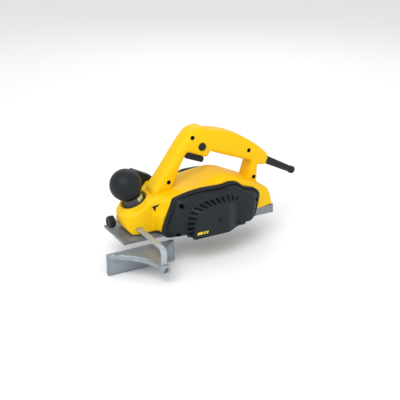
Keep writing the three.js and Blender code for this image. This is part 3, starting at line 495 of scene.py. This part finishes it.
def turned(name, profile, root, direction, sides=48, radius_at=None, sharp=35):
    """A turned piece: profile rows are (radius, distance along the axis from root), in
    millimetres, and a profile that ends where it starts makes a ring. radius_at(angle,
    distance) may scale the radius, for lobes and ribs."""
    axis = np.array(direction, float) / np.linalg.norm(direction)
    aside = np.cross(axis, (0, 1, 0) if abs(axis[1]) < 0.9 else (1, 0, 0))
    aside /= np.linalg.norm(aside)
    up = np.cross(axis, aside)
    profile = np.array(profile, float)
    angle = np.arange(sides) * 2 * np.pi / sides
    scale = 1.0 if radius_at is None else radius_at(angle[None, :], profile[:, 1][:, None])
    reach = (profile[:, 0][:, None] * scale)[..., None]
    around = np.cos(angle)[:, None] * aside + np.sin(angle)[:, None] * up
    rings = np.array(root) + profile[:, 1][:, None, None] * axis + reach * around[None]
    return skin(name, rings, sharp, capped=not np.allclose(profile[0], profile[-1]))


def limits(node):
    """Lowest and highest corner of a CAD piece, in millimetres from the sole's front edge, its
    middle and its plane."""
    return [np.array((corner.x - front_edge, corner.y, corner.z)) * 1000 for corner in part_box(node)]


tail = limits("rear_base")[1][0]
grip_half = limits("handle_right")[1][1]
split = -limits("handle_left")[1][1]

# Corners of the handle's side as (x, z, rounding, weight). The weight says how many times more
# the edge rolls over there, and it is 1 where it is left out.
wide = 1.9
handle_corners = [
    (66, 60, 0, wide), (66, 74, 4, wide), (84, 95, 10, wide), (124.5, 150, 30, wide),
    (140, 166.5, 14, 1.5), (160, 169, 8), (171, 162.5, 5), (198, 157.5, 30),
    (tail - 60, 145.5, 30), (tail - 27, 125.5, 30), (tail + 3.2, 98.5, 9), (tail - 3.5, 80.3, 7),
    (tail - 20, 84.5, 4), (tail - 21, 47, 0), (tail - 43, 56, 0), (tail - 32, 92.5, 7),
    (183, 121, 6), (177, 125, 4), (169, 114.5, 4), (131, 130, 5), (120, 112, 20), (105, 76, 0),
    (99, 64, 0),
]
screw_places = {"legLow": (94.6, 83.9), "legHigh": (139.9, 154), "postHigh": (tail - 40.2, 114.3),
                "postLow": (tail - 28.9, 63.8)}
sleeve_fall = math.radians(27.5)
sleeve_root = np.array([tail + 1.2, 0, 87.0])
sleeve_way = np.array([math.cos(sleeve_fall), 0, -math.sin(sleeve_fall)])
lock_place = (157.9, 135.9)
handle_wall = 2.8
screw_bore, lock_bore = 3.8, 7.1


def rod(name, radius, y0, y1, x, z, sides=32):
    """A plain pin across the planer, used as a cutter."""
    return turned(name, [(0, y0), (radius, y0), (radius, y1), (0, y1)], (x, 0, z), (0, 1, 0), sides)


for hand, way in (("left", -1), ("right", 1)):
    face, middle = way * grip_half, way * split
    outer = rolled(face, middle, 5, 0, 0.22)
    inner_face = way * (grip_half - handle_wall)
    inner = [(middle, handle_wall), (inner_face - way * 4, handle_wall), (inner_face, handle_wall + 3.2)]
    half = moulded(f"handle_half_{hand}", handle_corners, [*outer, *inner])
    tools = [
        moulded("slot", [(131.6, 134), (129.5, 112), (170, 96), (171, 119), (152, 126)],
                [(-8.7, 0), (8.7, 0)]),
        turned("way_out", [(0, -20), (8, -20), (8, 20), (0, 20)], sleeve_root, sleeve_way),
    ]
    if way < 0:
        tools += [rod("bore", screw_bore, -30, -9, *place) for place in screw_places.values()]
        tools.append(rod("bore", lock_bore, -30, -8, *lock_place, 40))
    carve(half, *tools)
    finish_piece(half, yellow, "yellow_plastic", f"handle_{hand}")

# ------------------------------------------------------------------ handle screws
# Four blued pan-head screws that draw the halves together. Each lies at the foot of a satin black cup that
# lines its bore from the left face: painted shade of the screw recess.
shade_cup_mouth = -grip_half + 0.3
shade_cup_profile = [(3.3, shade_cup_mouth), (3.75, shade_cup_mouth), (3.75, -9), (5.2, -9), (5.2, -0.6), (0, -0.6),
                (0, -8.9), (3.3, -8.9), (3.3, shade_cup_mouth)]
for label, (x, z) in screw_places.items():
    # A satin black cup lines each bore: painted shade of the screw recess.
    well = turned(f"screw_bore_shade_{label}", shade_cup_profile, (x, 0, z), (0, 1, 0), 36)
    finish_piece(well, satin_black, "black_plastic", body="planer_body")

blued = metal("blued_steel", (0.035, 0.037, 0.040), 0.42, 200, 300)
zinc = metal("zinc_plated_steel", (0.55, 0.56, 0.57), 0.30, 200, 300)


def cross_screw(name, node, radius, top, height, root, axis, material, shank, length):
    """Pan-head screw: a domed head with a cross recess where |u| or |v| is under 0.17 of the
    radius, pressed down by 0.45 of the head's height, and a plain shank below."""
    rows, sides = 12, 48
    r = np.linspace(0, 1, rows)[:, None] * radius
    angle = np.arange(sides)[None, :] * 2 * np.pi / sides
    u, v = r * np.cos(angle), r * np.sin(angle)
    dome = height * 0.3 * (1 - (r / radius) ** 2) + 0 * angle
    arm = np.minimum(np.abs(u), np.abs(v)) < 0.17 * radius
    recess = arm & (r < 0.68 * radius)
    lift = dome - np.where(recess, 0.45 * height, 0)
    axis = np.array(axis, float)
    aside = np.cross(axis, (0.3, 0.2, 1))
    aside /= np.linalg.norm(aside)
    up = np.cross(axis, aside)
    head = np.array(root) + (top + lift)[..., None] * axis + u[..., None] * aside + v[..., None] * up
    skirt = [(radius, top - height * 0.7), (shank, top - height * 0.7), (shank, top - length)]
    ring = np.cos(angle[0])[:, None] * aside + np.sin(angle[0])[:, None] * up
    lower = np.array([np.array(root) + t * axis + q * ring for q, t in skirt])
    made = skin(name, np.concatenate([head, lower]), 30)
    finish_piece(made, material, "plain_steel", node)
    return made


for label, (x, z) in screw_places.items():
    cross_screw(f"handle_screw_{label}_finished", f"handle_screw_{label}", radius=3.2, top=9.3,
                height=2.3, root=(x, 0, z), axis=(0, -1, 0), material=blued, shank=2.0, length=21)

# ------------------------------------------------------------------ arrowhead inlay
# Small arrowhead in the flank of the housing: a pocket with a satin black fill set 0.8 mm under the skin,
# painted shade in the recess.
# The skin's place is found by looking across the planer at each corner.
pocket_depth, shade_fill_depth = 2.4, 0.8
arrow = [(57.5, 51.5), (68.5, 57.5), (66, 52.5), (63.5, 50.5), (63, 47.5), (62.5, 42.5)]
skin_y = []
for x, z in arrow:
    start = Vector((front_edge + x / 1000, -0.1, z / 1000))
    skin_y.append(housing.ray_cast(start, Vector((0, 1, 0)))[1].y * 1000)
floor_ring = [(x, y + pocket_depth, z) for (x, z), y in zip(arrow, skin_y)]
shade_fill_ring = [(x, y + shade_fill_depth, z) for (x, z), y in zip(arrow, skin_y)]
carve(housing, skin("arrow", np.array([[(x, -60, z) for x, z in arrow], floor_ring])))
# Satin black fill in the pocket: painted shade of the arrow's recess.
arrow_shade_fill = skin("arrow_painted_shade", np.array([shade_fill_ring, floor_ring]))
finish_piece(arrow_shade_fill, satin_black, "black_plastic", body="planer_body")

# ------------------------------------------------------------------ switch
# Paddle trigger under the grip and a round lock-off button in the left half, both black nylon.
# The trigger swings on a steel pin, and the button slides in its bore.
trigger_corners = [(133.3, 128, 2), (131, 117, 3), (164, 103.8, 3), (167.6, 110.5, 3),
                   (163, 118.5, 2), (142, 134.5, 3), (134, 134.5, 3)]
trigger = moulded("trigger_paddle", trigger_corners, rolled(-8.2, 8.2, 1.8, 1.8))
finish_piece(trigger, black, "black_plastic", "trigger")
button_profile = [(0, 0.5), (3.4, 0.25), (4.2, -0.15), (4.6, 0.15), (5.6, 0.1), (6.3, 0.5),
                  (6.6, 1.3), (6.6, 8.5), (0, 8.5)]
lock_button = turned("lock_off_cap", button_profile, (lock_place[0], -grip_half - 2.8, lock_place[1]),
                     (0, 1, 0), 64)
finish_piece(lock_button, black, "black_plastic", "lock_off_button")

# ------------------------------------------------------------------ cord sleeve
# Soft rubber sleeve, held by its flange in the handle's end. It tapers towards a bead round
# its mouth, and shallow rings near the handle let it bend.
length = np.linspace(3.5, 63, 90)
taper = 7.2 - 1.5 * (length - 4) / 60
grooves = 0.28 * np.cos(2 * np.pi * length / 5.2) * np.clip((34 - length) / 30, 0, 1)
flange = [(4, -9), (7.6, -9), (7.6, -3.2), (7.2, -3)]
bead = [(5.9, 64.4), (6.5, 65.2), (6.75, 66.4), (6.75, 70.6), (6.4, 71.6), (5.6, 72), (4.4, 72), (4, 71.4)]
sleeve_profile = [*flange, *zip(taper - np.abs(grooves), length), *bead, flange[0]]
sleeve = turned("cord_sleeve_moulding", sleeve_profile, sleeve_root, sleeve_way, 48)
finish_piece(sleeve, rubber, "black_rubber", "cord_sleeve")

# ------------------------------------------------------------------ depth knob and scale ring
# Ball of satin black nylon with a flattened underside, which turns in a recess of the nose.
# Under it a ribbed grey collar carries the depth scale, printed on a pale film.
knob_lean = math.radians(25)
knob_way = np.array([-math.sin(knob_lean), 0, math.cos(knob_lean)])
knob_root = np.array([37.6, 0, 58.5])
ball_radius, ball_at = 26.8, 31.5
ball_sweep = 2.2
swing = np.linspace(np.pi / 2, np.pi / 2 - ball_sweep, 60)
ball_profile = [*zip(ball_radius * np.cos(swing), ball_at + ball_radius * np.sin(swing)),
                (21.4, 15.0), (20.4, 14.2), (16.0, 12.0), (11.5, 9.6), (9.6, 7), (9.5, -6), (0, -6)]
ball = turned("depth_ball", ball_profile, knob_root, knob_way, 96, sharp=50)
finish_piece(ball, satin_black, "black_plastic", "depth_knob")


def collar_ribs(angle, distance):
    """Radius scale of the ribbed collar above its foot: 1 + 0.018 (1 + wave), where the wave is
    1.6 cos 44a cut off at -1 and 1, which makes 44 flat-topped ribs."""
    wave = np.clip(1.6 * np.cos(44 * angle), -1, 1)
    return 1 + 0.018 * (1 + wave) * (distance > -2.2)


collar_profile = [(9.9, -8.6), (20.6, -8.6), (20.6, -7.4), (19.0, -6.6), (17.2, -3), (16.4, -1.5),
                  (15.8, 7.2), (15.0, 8.0), (12.4, 8.0), (11.9, 7.5), (9.9, 5.0), (9.9, -8.6)]
collar = turned("depth_scale_collar", collar_profile, knob_root, knob_way, 352, collar_ribs)
collar_grey = plastic("collar_nylon", (0.055, 0.060, 0.062), (0.075, 0.080, 0.080), 0.38)
finish_piece(collar, collar_grey, "grey_plastic", "depth_scale_ring")
collar_aside = np.cross(knob_way, (0, 1, 0))
collar_up = np.cross(knob_way, collar_aside)
film_radius, film_thick = 17.0, 0.4


def strip_round(name, start, end, low, high, radius, thick):
    """A strip bent round the collar, from the start angle to the end angle and from low to high
    along the axis. Its faces have the radius, and the radius less the thickness."""
    angle = np.linspace(start, end, 40)
    section = np.array([(radius, low), (radius, high), (radius - thick, high), (radius - thick, low)])
    around = np.cos(angle)[:, None] * collar_aside + np.sin(angle)[:, None] * collar_up
    along = section[None, :, 1, None] * knob_way
    rings = knob_root + along + section[None, :, 0, None] * around[:, None]
    return skin(name, rings, 30)


viewer_side = (0.5, -0.86, 0)
facing = math.atan2(np.dot(viewer_side, collar_up), np.dot(viewer_side, collar_aside))
film = plastic("scale_film", (0.62, 0.62, 0.24), (0.66, 0.66, 0.30), 0.35)
film_strip = strip_round("depth_scale_film", facing - 0.35, facing + 0.5, -0.6, 6.6, film_radius, film_thick)
finish_piece(film_strip, film, "grey_plastic", body="depth_adjuster")
ink = plastic("scale_ink", (0.02, 0.02, 0.02), (0.03, 0.03, 0.03), 0.5)
for index, turn in enumerate(np.linspace(facing - 0.29, facing + 0.44, 9)):
    tall = 3.6 if index % 4 == 0 else 2.4
    tick = strip_round(f"depth_tick_{index + 1}", turn - 0.012, turn + 0.012, 0.0, tall,
                       film_radius + 0.06, film_thick / 2)
    finish_piece(tick, ink, "grey_plastic", body="depth_adjuster")

# ------------------------------------------------------------------ belt cover
# Deep nylon cover over the drive belt: a rolled rim on the housing, a broad smooth shoulder
# that swells over the motor pulley, louvres round the panel and a ribbed lower lip.
deep, left_face = limits("belt_cover")[0][1], limits("belt_cover")[1][1]
cover_middle = np.array([155.0, 33.0])
rim = [(69, 4, 5), (92, 1.8, 6), (223, 1.8, 5), (240, 5, 5), (246, 26, 10), (250, 50, 8),
       (240, 60.5, 8), (217, 66.5, 6), (205, 78, 9), (189, 80.5, 6), (177, 77.5, 6), (136, 79, 14),
       (108, 76, 10), (83.5, 70, 4), (66, 25, 14), (62.5, 12, 5)]
shoulder = [(84, 8, 6), (82, 30, 8), (94, 50, 10), (118, 62, 12), (150, 67, 12), (180, 70, 10),
            (200, 71, 10), (218, 60, 10), (229, 44, 8), (230, 24, 8), (226, 7, 6)]
foot = [(100, 3.5, 4), (101, 36, 8), (111, 54, 8), (136, 62.5, 10), (180, 64.5, 10),
        (204, 57, 10), (214, 40, 8), (214, 4, 4)]
lip = [(107, 1.9, 2), (111, 36, 6), (120, 49, 8), (139, 55.5, 8), (176, 56.5, 8), (194, 50, 6),
       (203, 36, 4), (203, 2.5, 2)]


def reach(corners, angle):
    """Distance from the cover's middle to an outline, in each direction: the outline is walked
    in even steps, and its places are put in order of direction and read off."""
    flat = outline(corners, 24)
    flat = np.concatenate([flat, flat[:1]])
    walked = np.concatenate([[0], np.cumsum(np.hypot(*np.diff(flat, axis=0).T))])
    even = np.linspace(0, walked[-1], 3000)[:-1]
    aside = np.stack([np.interp(even, walked, flat[:, k]) for k in (0, 1)], 1) - cover_middle
    turn = np.unwrap(np.arctan2(aside[:, 1], aside[:, 0]))
    far = np.hypot(aside[:, 0], aside[:, 1])
    order = np.argsort(turn % (2 * np.pi))
    return np.interp(angle, (turn % (2 * np.pi))[order], far[order], period=2 * np.pi)


def panel_depth(x):
    """Depth of the panel, flat in front and falling back by 15.5 mm towards its rear end."""
    return deep + 15.5 * smooth(x, 170, 206)


def cover_surface(around=960):
    """Rings of the cover: a rolled rim, a shoulder that bows out between two outlines, the
    louvred slope from its foot to the panel's lip, and the panel. Each louvre is pressed in by
    4.2 mm where a wave of the length round the panel is high, and ribs notch the lower lip."""
    angle = np.arange(around) * 2 * np.pi / around
    at_rim, at_shoulder, at_foot, at_lip = (reach(corners, angle) for corners in (rim, shoulder, foot, lip))
    rim_roll = ((0, 0), (0, 5.6), (0.6, 6.9), (1.7, 7.7), (3.2, 7.9), (4.4, 7.3), (5.4, 7.2))
    rings = [(at_rim - drop, left_face - y) for drop, y in rim_roll]
    groove_drop, groove_y = rim_roll[-1]
    shoulder_y, foot_y = 18.6, 19.8
    groove = at_rim - groove_drop
    for t in np.linspace(0, 1, 22)[1:]:
        bow = np.sin(np.pi * t) * 1.3
        y = left_face - groove_y - (shoulder_y - groove_y) * t**0.85 - bow
        rings.append((groove + (at_shoulder - groove) * t + bow * 0.4, y))
    for t in (0.35, 0.7, 1.0):
        y = left_face - shoulder_y - (foot_y - shoulder_y) * t
        rings.append((at_shoulder + (at_foot - at_shoulder) * t, y))
    lip_x = cover_middle[0] + at_lip * np.cos(angle)
    lip_z = cover_middle[1] + at_lip * np.sin(angle)
    length_round = np.concatenate([[0], np.cumsum(np.hypot(np.diff(lip_x), np.diff(lip_z)))])
    louvred = smooth(lip_z, 10, 14) * (1 - smooth(lip_x, 193, 197))
    louvre_pitch, rib_pitch = 8.4, 5.2
    start = left_face - foot_y
    for t in np.linspace(0, 1, 30)[1:]:
        wave = np.cos(2 * np.pi * (length_round / louvre_pitch + 0.28 * t))
        slot = smooth(wave, -0.1, 0.35) * louvred * smooth(t, 0.06, 0.16) * (1 - smooth(t, 0.80, 0.90))
        y = start + (panel_depth(lip_x) - start) * t
        rings.append((at_foot + (at_lip - at_foot) * t - 4.2 * slot, y + 3.4 * slot))
    ribbed = smooth(-lip_z, -9, -4) * smooth(lip_x, 108, 112)
    notch = smooth(np.cos(2 * np.pi * length_round / rib_pitch), -0.2, 0.2) * ribbed
    for inward, rise in ((0.5, 0.4), (1.6, 0.0)):
        y = np.maximum(panel_depth(lip_x) + rise, deep)
        rings.append((at_lip - inward - 2.4 * notch, y + 2.2 * notch))
    for share in (0.93, 0.86, 0.78, 0.68, 0.56, 0.42, 0.27, 0.12):
        sunk = 0.5 if share < 0.9 else 0.0
        panel_x = cover_middle[0] + at_lip * share * np.cos(angle)
        rings.append((at_lip * share, panel_depth(panel_x) + sunk))
    shape = [np.stack([cover_middle[0] + radius * np.cos(angle), np.full(around, y),
                       cover_middle[1] + radius * np.sin(angle)], 1) for radius, y in rings]
    return np.array(shape)


cover = skin("belt_cover_moulding", cover_surface(), 40)
cover_screws = [(85, 10), (94, 58), (236, 8), (239, 42)]
well_radius, well_floor = 4.1, left_face - 2.6
carve(cover, *[rod("well", well_radius, deep - 5, well_floor, x, z) for x, z in cover_screws])
finish_piece(cover, black, "black_plastic", "belt_cover")
screw_seats = [(x, z, -left_face + 5.4) for x, z in cover_screws] + [(158, 28, -deep + 0.6)]
for index, (x, z, top) in enumerate(screw_seats):
    cross_screw(f"cover_screw_{index + 1}_finished", f"cover_screw_{index + 1}", radius=3.5, top=top,
                height=2.2, root=(x, 0, z), axis=(0, -1, 0), material=blued, shank=1.6, length=9)

# Three slanted bars printed in yellow on the panel.
paint = plastic("yellow_print", (0.75, 0.52, 0.04), (0.78, 0.56, 0.06), 0.4)
for index, (x0, x1) in enumerate(((113, 123), (125, 128), (130, 133))):
    bar = moulded(f"cover_mark_{index + 1}", [(x0, 9), (x1, 9), (x1 + 2, 13.5), (x0 + 2, 13.5)],
                  [(deep + 0.3, 0), (deep - 0.12, 0)])
    finish_piece(bar, paint, "yellow_plastic", body="planer_body")

# ------------------------------------------------------------------ edge fence
# Bent flat bar of bright steel with an aluminium casting on its foot: a flat guide plate, a
# web that narrows in two hollow curves with beaded edges, and a boss with the fixing screw.
polished = metal("polished_casting", (0.33, 0.38, 0.42), 0.34, 40, 500, metallic=0.45)
dull_cast = metal("dull_casting", (0.32, 0.36, 0.40), 0.38, 90, 90, 0.5, metallic=0.45)
bright_bar = metal("bright_bar", (0.46, 0.51, 0.56), 0.34, 30, 900, metallic=0.45)
bar_low, bar_high = limits("fence_bar")
bar_middle = (bar_low[0] + bar_high[0]) / 2
bar_half = (bar_high[0] - bar_low[0]) / 2
leg_outer, leg_foot = bar_low[1:]
inner_end, bar_top = bar_high[1:]
bar_thick = 4.0


def bent_bar(bend=9.0, steps=16):
    """The bar's rounded section (a superellipse) carried along the inner end, the top, the
    bend of the given radius and the leg."""
    middle_z = bar_top - bar_thick / 2
    middle_y = leg_outer + bar_thick / 2
    turn = np.linspace(0, np.pi / 2, steps)
    y = np.concatenate([[inner_end], np.linspace(inner_end - 0.4, middle_y + bend + 2, 12),
                        middle_y + bend - bend * np.sin(turn), [middle_y] * 8])
    z_leg = np.linspace(middle_z - bend - 2, leg_foot + 0.4, 7)
    z = np.concatenate([[middle_z] * 13, middle_z - bend + bend * np.cos(turn), z_leg, [leg_foot]])
    heading = np.concatenate([np.zeros(13), turn, np.full(8, np.pi / 2)])
    size = np.ones(len(y))
    size[[0, -1]] = 0.9
    around = np.arange(32) * 2 * np.pi / 32
    power = 0.32
    u = bar_half * np.sign(np.cos(around)) * np.abs(np.cos(around)) ** power
    v = bar_thick / 2 * np.sign(np.sin(around)) * np.abs(np.sin(around)) ** power
    across = v[None, :] * size[:, None]
    rings = np.stack([bar_middle + u[None, :] * size[:, None] + 0 * y[:, None],
                      y[:, None] - across * np.sin(heading)[:, None],
                      z[:, None] + across * np.cos(heading)[:, None]], -1)
    return skin("fence_bar_finished", rings, 50)


finish_piece(bent_bar(), bright_bar, "plain_steel", "fence_bar")

casting_low, casting_high = limits("fence_casting")
plate_x0, plate_low = casting_low[0], casting_low[2]
plate_x1, plate_y = casting_high[:2]
plate_top = -6
plate_corners = [(plate_x0, plate_top, 2.5), (plate_x0, plate_low, 3), (plate_x1, plate_low, 3),
                 (plate_x1, plate_top, 2.5)]
plate_section = ((0, 0.5), (0.5, 0), (5.2, 0), (6.0, 0.5), (6.1, 1.2), (5.6, 2.0), (5.0, 2.4))
plate = moulded("fence_plate", plate_corners, [(plate_y - out, trim) for out, trim in plate_section], 8)
finish_piece(plate, dull_cast, "polished_casting", "fence_casting")


def fence_web(rows=48, columns=61):
    """Web from the plate to the boss. At the share t of the way its edges run in hollow curves,
    x = end + (start - end)(1 - t)^2.2, and its top falls from z -7.4 to -12. A bead stands
    1.5 mm over both edges, 1.5 cos^2 of the distance from the edge, and a second one beside it."""
    t = np.linspace(0, 1, rows)[:, None]
    y = plate_y - 5 + (leg_outer - 5 - plate_y + 8) * t
    x0 = bar_middle - 8 + (plate_x0 + 0.6 - bar_middle + 8) * (1 - t) ** 2.2
    x1 = bar_middle + 8 + (plate_x1 - 0.6 - bar_middle - 8) * (1 - t) ** 2.4
    s = np.linspace(0, 1, columns)[None, :]
    x = x0 + (x1 - x0) * s
    edge = np.minimum(x - x0, x1 - x)
    bead = 1.5 * np.cos(np.clip(edge / 3.6, 0, 1) * np.pi / 2) ** 2 * (1 - smooth(t, 0.8, 0.95))
    second = 1.3 * np.cos(np.clip((edge - 6.2) / 2.2, -1, 1) * np.pi / 2) ** 2
    second = np.where(x < bar_middle, second * (1 - smooth(t, 0.5, 0.8)), 0)
    top = -7.4 - 4.6 * t + bead + second
    under = -11.6 - 5.4 * t - 1.2 * np.cos(np.clip(edge / 4, 0, 1) * np.pi / 2) ** 2
    upper = np.stack([x, y + 0 * x, top + 0 * x], -1)
    below = np.stack([x, y + 0 * x, under + 0 * x], -1)[:, ::-1]
    return skin("fence_web", np.concatenate([upper, below], 1), 40)


finish_piece(fence_web(), polished, "polished_casting", body="fence")
boss_low, boss_high, boss_half = -23.0, -9.0, 8.5
boss_face, boss_back = leg_outer - 4.5, leg_outer + 14
boss_corners = [(bar_middle - boss_half, boss_low, 6), (bar_middle + boss_half, boss_low, 6),
                (bar_middle + boss_half, boss_high, 6), (bar_middle - boss_half, boss_high, 6)]
boss = moulded("fence_boss", boss_corners, rolled(boss_face, boss_back, 1.6, 2.5), 10)
fence_screw_z, fit = -16.5, 0.3
slot_half, slot_foot = 5.3, leg_foot - fit
slot_corners = [(bar_middle - slot_half, slot_foot, 0), (bar_middle + slot_half, slot_foot, 0),
                (bar_middle + slot_half, 0, 0), (bar_middle - slot_half, 0, 0)]
carve(boss, rod("bore", 4.6, boss_face - 10, leg_outer - 1.0, bar_middle, fence_screw_z, 40),
      moulded("slot", slot_corners, [(leg_outer - fit, 0), (leg_outer + bar_thick + fit, 0)]))
finish_piece(boss, polished, "polished_casting", body="fence")
cross_screw("fence_screw_finished", "fence_screw", radius=4.0, top=-leg_outer + 2.0, height=2.4,
            root=(bar_middle, 0, fence_screw_z), axis=(0, -1, 0), material=zinc, shank=2.2, length=9)

# ------------------------------------------------------------------ fence clamp
# Six-lobed knob of black nylon on a plated screw, which presses the fence bar in its slot.
knob_low, knob_high = limits("clamp_knob")
clamp_x, clamp_y, clamp_z = knob_low[0], *((knob_low + knob_high) / 2)[1:]
clamp_long = knob_high[0] - knob_low[0]


def lobes(angle, distance):
    """Radius scale of the knob: 1 + 0.2 (|cos 3a|^0.7 - 0.6), six rounded lobes that fade into
    the round hub."""
    return 1 + 0.2 * (np.abs(np.cos(3 * angle)) ** 0.7 - 0.6) * smooth(distance, -0.5, 1.0)


clamp_profile = [(0, 1.4), (4.2, 1.4), (5.0, 0.6), (7.4, 0.1), (8.6, 0.3), (9.6, 1.3), (10.1, 2.8),
                 (10.1, clamp_long - 3.0), (9.4, clamp_long - 1.4), (7.6, clamp_long - 0.6),
                 (5.6, clamp_long), (0, clamp_long)]
clamp = turned("clamp_star", clamp_profile, (clamp_x, clamp_y, clamp_z), (1, 0, 0), 144, lobes)
finish_piece(clamp, black, "black_plastic", "clamp_knob")
thread = [(2.75 + 0.25 * (k % 2), 11.3 + 0.5 * k) for k in range(33)]
stem_profile = [(0, 3.3), (3, 3.3), (3, 8.9), (5.2, 9.2), (5.4, 9.6), (5.4, 10.9), (5.1, 11.2),
                *thread, (3, 28.2), (0, 28.2)]
stem = turned("clamp_stem", stem_profile, (0, clamp_y, clamp_z), (1, 0, 0), 36)
finish_piece(stem, zinc, "plain_steel", "clamp_screw")

# ------------------------------------------------------------------ right side
# Vented cover over the motor's bearing and the hooded chute for the chips, both black nylon
# mouldings screwed to the housing, with their edges rounded by the mould.
for node, width in (("motor_cover", 1.1), ("chip_chute", 1.4)):
    eased(node, black, "black_plastic", width)

# ------------------------------------------------------------------ working parts inside
# Cutter block, drive, motor and switch. They are seen through the mouth, the vents and the
# slots, so their CAD solids keep their shape and take real finishes.
ground_steel = metal("ground_steel", (0.42, 0.43, 0.45), 0.32, 900, 40)
carbide = metal("carbide", (0.50, 0.51, 0.53), 0.18, 900, 60)
sheet_stack = metal("lamination", (0.22, 0.23, 0.24), 0.5, 30, 1600)
winding = metal("copper_winding", (0.62, 0.23, 0.08), 0.38, 900, 80)
carbon = plastic("carbon_block", (0.03, 0.03, 0.032), (0.04, 0.04, 0.042), 0.7, 2600, 0.4)
inside = {
    "plain_steel": (ground_steel, ["cutter_drum", "blade_clamp_1", "blade_clamp_2", "drum_bearing_left",
                                   "drum_bearing_right", "drum_pulley", "motor_pulley", "depth_screw",
                                   "motor_bearing_left", "motor_bearing_right", "trigger_pin"]
                    + [f"blade_screw_{i + 1}" for i in range(6)]),
    "carbide": (carbide, ["blade_1", "blade_2"]),
    "black_rubber": (rubber, ["drive_belt"]),
    "copper_winding": (winding, ["armature", "commutator"]),
    "lamination": (sheet_stack, ["field_stator"]),
    "black_plastic": (black, ["cooling_fan", "brush_holder_front", "brush_holder_rear", "switch_body",
                              "cord_clamp"]),
    "carbon": (carbon, ["carbon_brush_front", "carbon_brush_rear"]),
    "grey_plastic": (grey_nylon, ["switch_plunger", "capacitor"]),
}
for slot_name, (finish, nodes) in inside.items():
    for node in nodes:
        piece = frame["nodes"][node]
        piece.data.materials.clear()
        piece.data.materials.append(finish)
